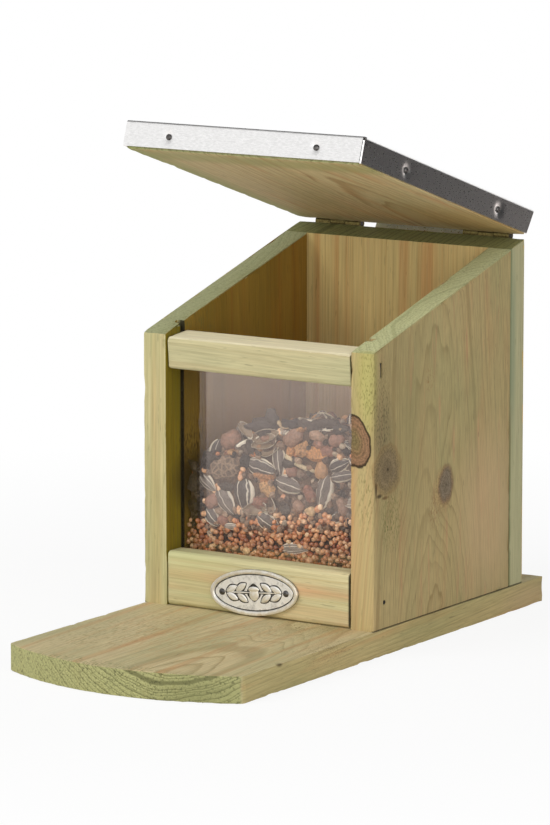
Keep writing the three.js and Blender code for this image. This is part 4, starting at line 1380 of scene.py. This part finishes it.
# %% Leaf sprig on the plate
def leaf_mesh(length, width, height, turn, middle):
    """A pointed leaf with a groove down its middle."""
    mesh = bmesh.new()
    bmesh.ops.create_uvsphere(mesh, u_segments=16, v_segments=10, radius=1,
                              matrix=Matrix.Rotation(math.pi / 2, 4, "Y"))
    for vert in mesh.verts:
        x, y, z = vert.co
        narrow = 1 - 0.5 * x * x
        groove = 0.4 * math.exp(-((y / 0.16) ** 2)) if z > 0 else 0
        vert.co = Vector((x * length / 2, y * narrow * width / 2, (z - groove * z) * height)) * MM
    placed = Matrix.Translation(Vector(middle) * MM) @ Matrix.Rotation(math.radians(turn), 4, "Z")
    bmesh.ops.transform(mesh, matrix=placed, verts=mesh.verts)
    return mesh


# The relief stands on dark outlines, a little larger, that only just leave the field
relief = [leaf_mesh(6.4, 3.1, 0.5, turn, (x, y, FIELD - 0.05)) for x, y, turn in LEAVES]
for side in (-1, 1):
    relief.append(leaf_mesh(12.5, 0.8, 0.42, 0, (side * 7.2, 0, FIELD)))
outlines = [leaf_mesh(7.4, 4.2, 0.06, turn, (x, y, FIELD)) for x, y, turn in LEAVES]
outlines += [leaf_mesh(13.2, 1.7, 0.05, 0, (side * 7.2, 0, FIELD)) for side in (-1, 1)]
outlines.append(leaf_mesh(8.2, 7.6, 0.06, 90, (0, 0, FIELD)))
for outline in outlines:
    for face in outline.faces:
        face.material_index = 1
nut = bmesh.new()
bmesh.ops.create_uvsphere(nut, u_segments=20, v_segments=12, radius=2.5 * MM)
bmesh.ops.scale(nut, vec=(1, 1.15, 0.2), verts=nut.verts)
bmesh.ops.translate(nut, vec=(0, -0.8 * MM, FIELD * MM), verts=nut.verts)
cap = bmesh.new()
bmesh.ops.create_uvsphere(cap, u_segments=20, v_segments=12, radius=2.7 * MM)
bmesh.ops.scale(cap, vec=(1.05, 0.5, 0.21), verts=cap.verts)
bmesh.ops.translate(cap, vec=(0, 1.4 * MM, FIELD * MM), verts=cap.verts)
whole = join_meshes([plate, nut, cap] + relief + outlines)
bmesh.ops.transform(whole, matrix=plate_place, verts=whole.verts)
oval = finish_piece(whole, "oval_plate", cast, "box", ["name_plate"])
oval.data.materials.append(hollow_dark)

print("plate with", len(LEAVES), "leaves")

# %% Plate pins
PLATE_PIN = (1.5, 0.7, 0.7, 8)
pins = []
for pin in (pin_left, pin_right):
    seat = Vector((pin.x, PLATE_BACK - FIELD * MM, pin.z))
    pins.append(driven(lathe(dome(*PLATE_PIN)), seat, Vector((0, 1, 0))))
finish_piece(join_meshes(pins), "plate_pins", zinc, "box",
             ["plate_pin_1", "plate_pin_2"])
print(len(pins), "plate pins")

# %% [markdown]
# ## Feed
#
# The hopper holds red millet under a heap of striped sunflower seed, split hulls, maize, nut
# pieces, ground-nut shells and husks. Each kind has a few templates that are copied many times
# into one mesh, with their own size and turn, and crumbs fill the gaps. The grains lie only where
# they can be seen, against the pane and on the top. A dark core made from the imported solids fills
# what is behind them.

# %% Feed materials
def feed_material(name, colours, roughness, spread_mm=1.2, cloud=0.25, specular=0.5, net_mm=0,
                  gain=1, deep=None):
    """Feed whose grains each take a colour from a ramp, with cloudy patches of spread_mm.
    Deep gives the tint of the lowest grains and two heights in mm between which it fades."""
    material, tree, surface = new_material(name)
    place = node(tree, "TexCoord")
    grain = node(tree, "NewGeometry")
    stops = [(i / max(1, len(colours) - 1), shade) for i, shade in enumerate(colours)]
    own = node(tree, "ValToRGB", {0: grain.outputs["Random Per Island"]}, stops=stops)
    patch = node(tree, "TexNoise", {
        "Vector": place.outputs["Object"],
        "Scale": 1 / (spread_mm * MM),
        "Detail": 3,
    })
    shade = node(tree, "MapRange", {
        "Value": patch.outputs[0],
        "From Min": 0.3,
        "From Max": 0.7,
        "To Min": gain * (1 - cloud),
        "To Max": gain * (1 + cloud),
    })
    height = patch.outputs[0]
    if net_mm:
        veins = node(tree, "TexVoronoi", {
            "Vector": place.outputs["Object"],
            "Scale": 1 / (net_mm * MM),
        }, feature="DISTANCE_TO_EDGE")
        pit = node(tree, "MapRange", {"Value": veins.outputs["Distance"], "From Max": 0.18,
                                      "To Min": 1.55, "To Max": 0.62})
        shade = node(tree, "Math", {0: shade.outputs[0], 1: pit.outputs[0]}, operation="MULTIPLY")
        height = pit.outputs[0]
    colour = node(tree, "VectorMath", {0: own.outputs[0], 3: shade.outputs[0]}, operation="SCALE")
    if deep:
        parts = node(tree, "SeparateXYZ", {0: place.outputs["Object"]})
        risen = node(tree, "MapRange", {"Value": parts.outputs["Z"], "From Min": deep[1] * MM,
                                        "From Max": deep[2] * MM})
        tint = node(tree, "ValToRGB", {0: risen.outputs[0]}, stops=[(0, deep[0]), (1, "#ffffff")])
        colour = node(tree, "VectorMath", {0: colour.outputs[0], 1: tint.outputs[0]},
                      operation="MULTIPLY")
    bump = node(tree, "Bump", {"Height": height, "Strength": 0.4, "Distance": 0.2 * MM})
    tree.links.new(colour.outputs[0], surface.inputs["Base Color"])
    tree.links.new(bump.outputs[0], surface.inputs["Normal"])
    surface.inputs["Roughness"].default_value = roughness
    surface.inputs["Specular IOR Level"].default_value = specular
    return material


print("millet, maize, nuts and the rest share one way of making")

# %% Feed finishes
# Glossy red-brown and pale grains, darker towards the bottom
millet_look = feed_material("red_millet", ["#a85f3a", "#cf8f5e", "#8f4e31", "#e0ad80", "#b87149",
                                           "#eccaa2", "#c07f57"], 0.26, 0.9, 0.3, 0.9,
                            gain=1.32, deep=("#b8a888", 32, 52))
# Waxy, pale orange
maize_look = feed_material("cracked_maize", ["#c9a06a", "#d4b184", "#b98a5a", "#c9967a",
                                             "#dcc49a"], 0.4, 1.6, 0.35)
# Broken faces from cream to brown skin
nut_look = feed_material("nut_pieces", ["#ca8e56", "#a8714e", "#d2a36c", "#a87860", "#7e4a33",
                                        "#c68d5a"], 0.45, 0.9, 0.55, gain=0.88)
# Dull pinkish brown
kernel_look = feed_material("bare_kernels", ["#8f5f4b", "#a07661", "#7c5546", "#ad8a70",
                                             "#8a614e"], 0.5, 1.2, 0.35)
# Dry grey-brown shell under a net of pale veins
shell_look = feed_material("ground_nut_shell", ["#74604f", "#86705c"], 0.7, 1.4, 0.3, 0.3, 2.6)
# Nearly black scraps that fill the heap with dark
husk_look = feed_material("dark_husks", ["#211b18", "#43372c", "#191614", "#54483c", "#2e2622"],
                          0.55, 0.6, 0.8, 0.4)
# Dust and crumbs of everything
crumb_look = feed_material("feed_crumbs", ["#8a705a", "#5c483a", "#b3957a", "#6f5848", "#a9805c",
                                           "#483931", "#c9b398"], 0.6, 0.8, 0.4)
# Straw
stalk_look = feed_material("dry_stalks", ["#c4ab88", "#a3855e", "#d8c4a0"], 0.7, 1.0, 0.3)
# The dark between the grains, painted shade of the grains deeper in
core_shade_look = feed_material("feed_core_painted_shade", ["#3d2d20", "#564130"], 0.9, 2.2, 0.6)
print("nine feed finishes")

# %% Striped hull
# Dark hull with pale lines from tip to tip and pale edges. The hull map's first value goes from
# -1 to 1 across a seed, is 1 or -1 on its two edges, and INSIDE on the brown lining of an empty
# hull
LINE_GAP = 0.4
INSIDE = 4
# Sway of 3 mm and fibres of half a millimetre, as counts to the metre
SWAY = 330
HULL_FIBRE = 1800
hull, tree, surface = new_material("striped_sunflower_hull")
uv = node(tree, "UVMap", uv_map="hull")
grain = node(tree, "NewGeometry")
place = node(tree, "TexCoord")
parts = node(tree, "SeparateXYZ", {0: uv.outputs[0]})
wobble = node(tree, "TexNoise", {"Vector": place.outputs["Object"], "Scale": SWAY, "Detail": 1})
fibre = node(tree, "TexNoise", {"Vector": place.outputs["Object"], "Scale": HULL_FIBRE,
                                "Detail": 2})
own = node(tree, "MapRange", {"Value": grain.outputs["Random Per Island"], "To Min": -0.3,
                              "To Max": 0.3})
shifted = node(tree, "Math", {0: parts.outputs["X"], 1: own.outputs[0]}, operation="ADD")
swayed = node(tree, "Math", {0: wobble.outputs[0], 1: 0.3, 2: shifted.outputs[0]},
              operation="MULTIPLY_ADD")
wave = node(tree, "Math", {0: swayed.outputs[0], 1: LINE_GAP}, operation="PINGPONG")
ragged = node(tree, "Math", {0: fibre.outputs[0], 1: 0.06, 2: wave.outputs[0]},
              operation="MULTIPLY_ADD")
lines = node(tree, "MapRange", {"Value": ragged.outputs[0], "From Min": 0.055, "From Max": 0.09,
                                "To Min": 0.8, "To Max": 0})
side = node(tree, "Math", {0: parts.outputs["X"]}, operation="ABSOLUTE")
edges = node(tree, "MapRange", {"Value": side.outputs[0], "From Min": 0.72, "From Max": 0.8})
pale = node(tree, "Math", {0: lines.outputs[0], 1: edges.outputs[0]}, operation="MAXIMUM")
dark = node(tree, "ValToRGB", {0: grain.outputs["Random Per Island"]}, stops=[
    (0, "#584d46"), (0.35, "#75685e"), (0.6, "#463d38"), (0.8, "#8a7c70"), (1, "#a39382"),
])
cloudy = node(tree, "MapRange", {"Value": wobble.outputs[0], "From Min": 0.3, "From Max": 0.7,
                                 "To Min": 0.75, "To Max": 1.25})
dark = node(tree, "VectorMath", {0: dark.outputs[0], 3: cloudy.outputs[0]}, operation="SCALE")
colour = node(tree, "Mix", {0: pale.outputs[0], MIX_A: dark.outputs[0],
                            MIX_B: linear("#f6ead4")}, data_type="RGBA")
lining = node(tree, "Math", {0: parts.outputs["X"], 1: INSIDE / 2}, operation="GREATER_THAN")
colour = node(tree, "Mix", {0: lining.outputs[0], MIX_A: colour.outputs[MIX_RESULT],
                            MIX_B: linear("#8f7a62")}, data_type="RGBA")
bump = node(tree, "Bump", {"Height": ragged.outputs[0], "Strength": 0.3, "Distance": 0.1 * MM})
tree.links.new(colour.outputs[MIX_RESULT], surface.inputs["Base Color"])
tree.links.new(bump.outputs[0], surface.inputs["Normal"])
surface.inputs["Roughness"].default_value = 0.45
print("hull lines every", LINE_GAP, "of half a seed's width")

# %% Shapes of the grains
def hull_shape(point, seed):
    """Widest below the middle and pointed at the top, with a slight ridge."""
    t = point.z
    narrow = 1 - 0.26 * t - 0.16 * t * t
    return Vector((point.x * narrow, point.y * narrow * (1 + 0.12 * math.cos(3 * point.x)), t))


def maize_shape(point, seed):
    """A tooth: broad and dented at the crown, narrow at the tip."""
    t = point.z
    broad = 0.72 + 0.33 * t - 0.05 * t * t
    dent = 0.25 * max(0, t - 0.5) * math.exp(-((point.x / 0.5) ** 2))
    bend = 0.12 * noise.noise(point * 1.1 + Vector((seed, 0, 0)))
    return Vector((point.x * broad * 1.15, point.y * broad + bend, t - dent))


def nut_shape(point, seed):
    """A broken kernel with flat and lumpy sides."""
    lump = noise.noise(point * 1.1 + Vector((seed * 3.7, 0, 0)))
    fine = noise.noise(point * 2.6 + Vector((0, seed * 3.7, 0)))
    return point * (1 + 0.5 * lump + 0.22 * fine)


def shell_shape(point, seed):
    """A ground-nut shell with a waist."""
    waist = 1 - 0.2 * math.exp(-((point.z / 0.35) ** 2))
    bumpy = 1 + 0.1 * noise.noise(point * 2 + Vector((seed, 0, seed)))
    return Vector((point.x * waist, point.y * waist, point.z)) * bumpy


def husk_shape(point, seed):
    """A crumpled, folded piece of skin."""
    fold = abs(noise.noise(point * 1.7 + Vector((seed * 5.1, 0, 0))))
    fine = noise.noise(point * 3.4 + Vector((0, 0, seed * 2.3)))
    return point * (0.75 + 0.8 * fold + 0.35 * fine)


def stalk_shape(point, seed):
    """A stalk with a slight bow."""
    return Vector((point.x + 0.8 * point.z ** 2, point.y, point.z))


def ball_shape(point, seed):
    """A round grain with a small flat."""
    return point * (1 + 0.05 * noise.noise(point * 1.4 + Vector((seed, seed, 0))))


print("seven shapes")

# %% A fixed order of edges
# A sphere's edges come in another order every time, and the tint of a grain hangs on it. The
# first edges laid leave one lead point, so this point sets the tint
LEADS = {"ball": 4, "seed": 8, "half": 89}


def in_order(mesh, lead):
    """The same mesh built anew, points by place and edges outwards from the lead point."""
    ranked = sorted(mesh.verts, key=lambda vert: [round(value, 4) for value in vert.co])
    number = {vert: i for i, vert in enumerate(ranked)}
    near = [sorted(number[edge.other_vert(vert)] for edge in vert.link_edges) for vert in ranked]
    rows = []
    for face in mesh.faces:
        corners = [number[vert] for vert in face.verts]
        first = corners.index(min(corners))
        rows.append(corners[first:] + corners[:first])
    fresh = bmesh.new()
    points = [fresh.verts.new([round(value, 5) for value in vert.co]) for vert in ranked]
    reached = [lead]
    for start in reached:
        for other in near[start]:
            if other not in reached:
                reached.append(other)
                fresh.edges.new((points[start], points[other]))
    for row in sorted(rows):
        fresh.faces.new([points[i] for i in row])
    mesh.free()
    return fresh


print("fixed order for", list(LEADS))

# %% Feed templates
def template(kind, shape, seed):
    """One grain of a kind, about 2 units long on Z, wide on X and thin on Y."""
    mesh = bmesh.new()
    if kind == "ball":
        bmesh.ops.create_uvsphere(mesh, u_segments=7, v_segments=5, radius=1)
    elif kind == "seed":
        bmesh.ops.create_uvsphere(mesh, u_segments=12, v_segments=8, radius=1)
    elif kind in ("lump", "chunk"):
        bmesh.ops.create_icosphere(mesh, subdivisions=2, radius=1)
    elif kind == "half":
        bmesh.ops.create_uvsphere(mesh, u_segments=12, v_segments=8, radius=1)
        bmesh.ops.bisect_plane(mesh, geom=mesh.verts[:] + mesh.edges[:] + mesh.faces[:],
                               plane_co=(0, 0.15, 0), plane_no=(0, 1, 0), clear_outer=True)
        bmesh.ops.solidify(mesh, geom=mesh.faces[:], thickness=0.07)
    else:
        bmesh.ops.create_cone(mesh, cap_ends=True, segments=6, radius1=1, radius2=0.7, depth=2)
        upright = [edge for edge in mesh.edges
                   if abs(edge.verts[0].co.z - edge.verts[1].co.z) > 1]
        bmesh.ops.subdivide_edges(mesh, edges=upright, cuts=3)
    if kind in LEADS:
        mesh = in_order(mesh, LEADS[kind])
    across = mesh.loops.layers.uv.new("hull")
    for face in mesh.faces:
        face.smooth = kind != "chunk"
        inside = kind == "half" and face.calc_center_median().length < 0.95
        for loop in face.loops:
            point = loop.vert.co
            reach = math.hypot(point.x, point.y)
            value = point.x / reach if reach > 0.01 else 0
            loop[across].uv = (INSIDE if inside else value, point.z)
    for vert in mesh.verts:
        vert.co = shape(vert.co, seed)
    data = bpy.data.meshes.new("template")
    mesh.to_mesh(data)
    mesh.free()
    return data


# The raw form of each kind, its shape and the number of templates
KINDS = {
    "millet": ("ball", ball_shape, 2), "sunflower": ("seed", hull_shape, 2),
    "hull": ("half", hull_shape, 2), "maize": ("seed", maize_shape, 4),
    "nut": ("chunk", nut_shape, 8), "shell": ("lump", shell_shape, 2),
    "husk": ("chunk", husk_shape, 8), "stalk": ("stick", stalk_shape, 2),
    "kernel": ("lump", shell_shape, 4), "crumb": ("chunk", nut_shape, 5),
}
templates = {kind: [template(form, shape, number * 1.7 + 0.4) for number in range(count)]
             for kind, (form, shape, count) in KINDS.items()}
print(sum(len(group) for group in templates.values()), "templates")

# %% Heap surfaces
bed_mesh, heap_mesh = merged_copy("millet_bed"), merged_copy("seed_heap")
bed_tree, heap_tree = BVHTree.FromBMesh(bed_mesh), BVHTree.FromBMesh(heap_mesh)
HOPPER_LOW = Vector((-47.6, 0.95, 12.4))
HOPPER_HIGH = Vector((47.6, 101.0, 150.0))


def top_of(tree, x, y):
    """Height of a feed solid's top over a point, in millimetres, and the way it faces."""
    hit = tree.ray_cast(Vector((x * MM, y * MM, 0.3)), Vector((0, 0, -1)))
    return (hit[0].z / MM, hit[1]) if hit[0] else (0, Vector((0, 0, 1)))


print("bed", round(top_of(bed_tree, 0, 3)[0], 1), "heap", round(top_of(heap_tree, 0, 3)[0], 1))

# %% Laying a grain
chance = random.Random(7)
grains = {kind: [] for kind in KINDS}


def put(kind, x, y, z, size, facing, angle=None):
    """One grain: size is its length, width and thickness, facing its flat side's direction."""
    width, thick = size[1] / 2, size[2] / 2
    turn = math.radians(chance.uniform(0, 360) if angle is None else angle)
    out = facing.normalized()
    level = Vector((1, 0, 0)) - out * out.x
    level.normalize()
    upright = level.cross(out) if out.y < -0.5 else out.cross(level)
    if out.y < -0.5 and upright.z < 0:
        upright.negate()
    long_way = level * math.cos(turn) + upright * math.sin(turn)
    basis = Matrix((out.cross(long_way), out, long_way)).transposed().to_4x4()
    data = templates[kind][chance.randrange(len(templates[kind]))].copy()
    data.transform(basis @ Matrix.Diagonal((width * MM, thick * MM, size[0] / 2 * MM, 1)))
    low = [min(vert.co[i] for vert in data.vertices) / MM for i in range(3)]
    high = [max(vert.co[i] for vert in data.vertices) / MM for i in range(3)]
    spot = [min(max(value, HOPPER_LOW[i] - low[i]), HOPPER_HIGH[i] - high[i])
            for i, value in enumerate((x, y, z))]
    data.transform(Matrix.Translation(Vector(spot) * MM))
    grains[kind].append(data)


print("grains stay under", HOPPER_HIGH.z, "mm")

# %% Millet against the pane
MILLET_MM = 2.4
ROW = 2.05
COLUMN = 2.35
DUSTY_MM = 8
DUSTY_SHARE = 0.3
# The millet's edge at the pane, as x and z
MILLET_LINE = [(-60, 46), (-30, 50), (3, 55), (18, 58), (34, 57), (60, 56)]


def height_at(line, x):
    """Height over x, read between the points of a line."""
    for (left, low), (right, high) in zip(line, line[1:]):
        if left <= x <= right:
            return low + (high - low) * (x - left) / (right - left)


for layer in range(3):
    for row in range(17):
        for column in range(41):
            x = -46.4 + column * COLUMN + (row % 2) * 1.2 + chance.uniform(-0.8, 0.8)
            z = 29.5 + row * ROW + chance.uniform(-0.8, 0.8)
            y = 2.1 + layer * 1.9 + chance.uniform(0, 1)
            level = max(top_of(bed_tree, x, 3)[0], height_at(MILLET_LINE, x))
            ragged = 3 * noise.noise(Vector((x / 7, 0.3, layer * 0.7)))
            if z > level + ragged or chance.random() < 0.05:
                continue
            size = MILLET_MM * chance.uniform(0.8, 1.15)
            dusty = z > level - DUSTY_MM and chance.random() < DUSTY_SHARE
            put("crumb" if dusty else "millet", x, y, z, (size * 1.18, size, size * 0.95),
                Vector((0, -1, 0)))
print(len(grains["millet"]), "grains of millet at the pane")

# %% Larger pieces against the pane
# Each row gives x and z of the middle, length, angle and width, in millimetres and degrees
BY_THE_PANE = {
    "sunflower": [
        (-7.4, 75.0, 17.0, -12, 9.2), (1.3, 79.0, 13.8, -82, 7.0), (-18.0, 62.2, 16.0, -85, 13),
        (-27.0, 58.1, 14.6, -55, 9.0), (-34.0, 50.3, 10.5, -44, 7), (24.1, 67.0, 17.5, -106, 9.5),
        (32.6, 80.3, 11, 25, 7), (34.6, 75.8, 12, 14, 6), (-3.6, 50.4, 15.5, -30, 8.5),
        (9.9, 41.0, 15.5, 6, 5.3), (-36.4, 66.0, 11, -40, 6.0),
        (-23.3, 47.5, 7.4, 2, 3.0), (6.8, 69.0, 15.8, -14, 8.6),
    ],
    "hull": [
        (-4.6, 59.5, 11, -32, 7.0), (-5.0, 90.0, 15.1, 19, 6.0), (-6.2, 87.0, 14, 200, 6.4),
        (-3.6, 84.0, 12, 18, 6.0), (-15.5, 91.5, 10, -38, 4.5), (-11.1, 56.8, 13, 192, 6.0),
    ],
    "nut": [
        (-6.0, 71.7, 12.5, -6, 6.4), (-4.7, 66.2, 8.3, 0, 7), (22.0, 84.1, 15.5, 0, 6.7),
        (22.9, 88.2, 7, -8, 5), (7.6, 84.0, 6, 5, 4.5), (-9.0, 59.8, 8, 13, 5.6),
        (13.0, 85.5, 8, 40, 6),
    ],
    "kernel": [
        (-24.8, 86.0, 11.5, 27, 9.5), (7.8, 75.0, 6.3, 10, 6.0), (16.9, 66.0, 8.5, -60, 6.5),
        (8.3, 90.4, 12, 41, 9.5), (26.7, 85.8, 9, 5, 6.1), (21.1, 92.0, 9, -22, 6.9),
        (-34.4, 57.6, 9, 34, 7.5), (33.9, 62.2, 9.5, -68, 6.0), (11.2, 59.9, 6.5, -33, 6),
        (-28.3, 49.4, 6.5, -25, 5.7), (31.0, 91.0, 9, 20, 7),
    ],
    "maize": [
        (22.8, 77.6, 10.5, -86, 8.0), (-15.8, 37.3, 4.6, -5, 4.5), (16.6, 35.9, 5.5, -7, 5.2),
        (17.5, 58.4, 6.5, 1, 5.1),
    ],
    "shell": [(-28.6, 73.4, 19.5, 16, 16)],
    "husk": [
        (-8.0, 93.6, 19, 0, 7.5), (-3.2, 98.6, 8.5, -50, 7), (7.7, 95.8, 12.1, 10, 5),
        (7.1, 79.5, 11.8, 25, 7.5), (-45.0, 55.2, 10.6, -60, 9), (4.1, 57.5, 7.5, -18, 6.5),
        (17.0, 96.0, 12, -10, 5), (-26.6, 65.0, 8.9, 2, 4.2), (-45, 64, 9, 80, 7),
        (-36.0, 77.0, 10, 40, 6), (-14.0, 84.0, 9, -60, 6), (-17.0, 77.0, 9, 60, 6),
        (33.0, 96.0, 10, 10, 5), (-44.0, 71.0, 12, -40, 6), (26.0, 98.5, 14, 4, 5),
    ],
    "stalk": [(12.1, 78.0, 15.8, -22, 2.6), (3.7, 94.7, 6.6, -19, 2.0)],
}
# Thickness as a share of the width
THICK_SHARE = {"sunflower": 0.5, "hull": 0.55, "nut": 0.75, "shell": 0.75, "maize": 0.6,
               "husk": 0.6, "stalk": 1, "kernel": 0.7, "crumb": 0.8}
taken = []
for kind, rows in BY_THE_PANE.items():
    for x, z, length, angle, width in rows:
        facing = Vector((chance.uniform(-0.2, 0.2), -1, chance.uniform(0, 0.25)))
        put(kind, x, 1.3, z, (length, width, width * THICK_SHARE[kind]), facing, angle)
        taken.append((x, z, 0.42 * width + 0.12 * length))
print(len(taken), "placed pieces")

# %% [markdown]
# The rest is scattered, kind by kind as it comes. Layers behind the pane close the view between
# the placed pieces, the back ones first. Then come the top of the heap, and crumbs on it and in
# the gaps. The heap falls away behind the pane, and a mound stands at its left.

# %% Random pieces
# Smallest and largest length, and the same for the width, in millimetres
SIZES = {
    "sunflower": ((10, 14), (5.5, 8)), "hull": ((8, 12), (4.5, 6.5)), "nut": ((4, 8), (3.5, 6)),
    "maize": ((6, 9), (5, 7)), "husk": ((4, 9), (3, 6)), "stalk": ((6, 13), (0.9, 1.6)),
    "kernel": ((5, 9), (4, 6.5)), "crumb": ((2, 4.5), (1.8, 3.5)),
}
MIX = (["sunflower"] * 5 + ["hull"] * 3 + ["nut"] * 4 + ["kernel"] * 3 + ["maize"] + ["husk"] * 9
       + ["stalk"] + ["crumb"] * 4)
# How far the heap falls behind the pane, in millimetres, and where its dark corner ends, left of
# which only nearly black husks are laid as painted shade
HEAP_FALL = 8
SHADY_X = -39


def heap_top(x, y):
    """Top of the feed over a point and its slope. It falls away behind the pane."""
    height, slope = top_of(heap_tree, x, y)
    back = min(1, max(0, (y - 6) / 45))
    return height - HEAP_FALL * back * back * (3 - 2 * back), slope


def random_piece(x, y, z, facing):
    """A piece of a random kind and size."""
    kind = chance.choice(MIX)
    # Painted shade: only nearly black husks lie in the dark left corner
    if x < SHADY_X:
        kind = "husk"
    length, width = [chance.uniform(*limits) for limits in SIZES[kind]]
    put(kind, x, y, z, (length, width, width * THICK_SHARE[kind]), facing)


def on_placed(x, z, margin):
    """Whether a spot is nearer to a placed piece than the margin allows."""
    return any((x - a) ** 2 + (z - b) ** 2 < (reach + margin) ** 2 for a, b, reach in taken)


print("a mix of", len(MIX), "shares")

# %% Layers behind the pane
# The mound's height over the heap, as x and height
MOUND = [(-60, 0), (-46, 1), (-38, 4), (-28, 7), (-14, 3), (0, 1), (60, 0)]
# Depth of each layer, the step between its pieces and their margin to the placed ones
LAYERS = [(13, 4.4, None), (9.5, 4.4, None), (6.8, 4.2, 0.5), (4.4, 4.4, 2.2)]
for depth, step, margin in LAYERS:
    for row in range(24):
        for column in range(24):
            x = -46 + column * step + chance.uniform(-2, 2)
            z = 40 + row * step * 0.72 + chance.uniform(-1.5, 1.5)
            above = height_at(MOUND, x)
            if not height_at(MILLET_LINE, x) - 1 < z < top_of(heap_tree, x, 3)[0] - 1 + above:
                continue
            if margin and on_placed(x, z, margin):
                continue
            facing = Vector((chance.uniform(-0.5, 0.5), -1, chance.uniform(-0.3, 0.6)))
            random_piece(x, depth, z, facing)
print(sum(len(group) for group in grains.values()), "grains with the layers")

# %% Top of the heap
for layer in range(2):
    for row in range(19):
        for column in range(18):
            x = -45 + column * 5.3 + chance.uniform(-2.2, 2.2)
            y = 5 + row * 5.2 + chance.uniform(-2, 2)
            height, slope = heap_top(x, min(y, 100))
            facing = slope + Vector([chance.uniform(-0.45, 0.45) for _ in range(3)])
            random_piece(x, y, height - 3.2 + 1.4 * layer, facing)
print(sum(len(group) for group in grains.values()), "grains with the top")

# %% Crumbs
for _ in range(500):
    x, y = chance.uniform(-46, 46), chance.uniform(2, 100)
    height, slope = heap_top(x, y)
    kind = chance.choice(("millet", "crumb", "crumb"))
    put(kind, x, y, height + chance.uniform(-1.5, 0.5), (2.3, 2.1, 1.9), slope)
for _ in range(420):
    x = chance.uniform(-46, 46)
    z = chance.uniform(height_at(MILLET_LINE, x) - 2, top_of(heap_tree, x, 3)[0] - 2)
    if on_placed(x, z, -0.6):
        continue
    kind = chance.choice(("crumb", "crumb", "crumb", "millet", "husk"))
    # Painted shade: only nearly black husks lie in the dark left corner
    if x < SHADY_X:
        kind = "husk"
    size = chance.uniform(2, 3.6)
    put(kind, x, chance.uniform(1.6, 4), z, (size * 1.2, size, size * 0.8), Vector((0, -1, 0)))
print({kind: len(group) for kind, group in grains.items()})

# %% Feed pieces
FEED = {
    "millet": ("red_millet_grains", millet_look, "millet"),
    "sunflower": ("sunflower_seeds", hull, "mixed_seed"),
    "hull": ("split_hulls", hull, "mixed_seed"),
    "shell": ("ground_nut_shells", shell_look, "mixed_seed"),
    "maize": ("maize_kernels", maize_look, "mixed_seed"),
    "nut": ("nut_pieces", nut_look, "mixed_seed"),
    "husk": ("husk_pieces", husk_look, "mixed_seed"),
    "stalk": ("stalk_pieces", stalk_look, "mixed_seed"),
    "kernel": ("bare_kernels", kernel_look, "mixed_seed"),
    "crumb": ("feed_crumbs", crumb_look, "mixed_seed"),
}
for kind, (name, material, slot) in FEED.items():
    whole = bmesh.new()
    for data in grains[kind]:
        whole.from_mesh(data)
        bpy.data.meshes.remove(data)
    finish_piece(whole, name, material, "box", smooth=False)
for group in templates.values():
    for data in group:
        bpy.data.meshes.remove(data)
print("feed of", sum(len(group) for group in grains.values()), "grains")

# %% Feed cores
# The cores' dark colour is painted shade of the grains behind the laid ones
CORE_IN = 3.4 * MM
for name, mesh, node_name, slot in (("millet_core", bed_mesh, "millet_bed", "millet"),
                                    ("seed_core", heap_mesh, "seed_heap", "mixed_seed")):
    mesh.normal_update()
    away = {vert: vert.normal.copy() for vert in mesh.verts}
    for vert, normal in away.items():
        if node_name == "seed_heap" and normal.z > 0.5:
            vert.co.z = heap_top(vert.co.x / MM, vert.co.y / MM)[0] * MM
        vert.co -= normal * CORE_IN
    finish_piece(mesh, name, core_shade_look, "box", [node_name])
print("cores", CORE_IN / MM, "mm inside the packed feed")
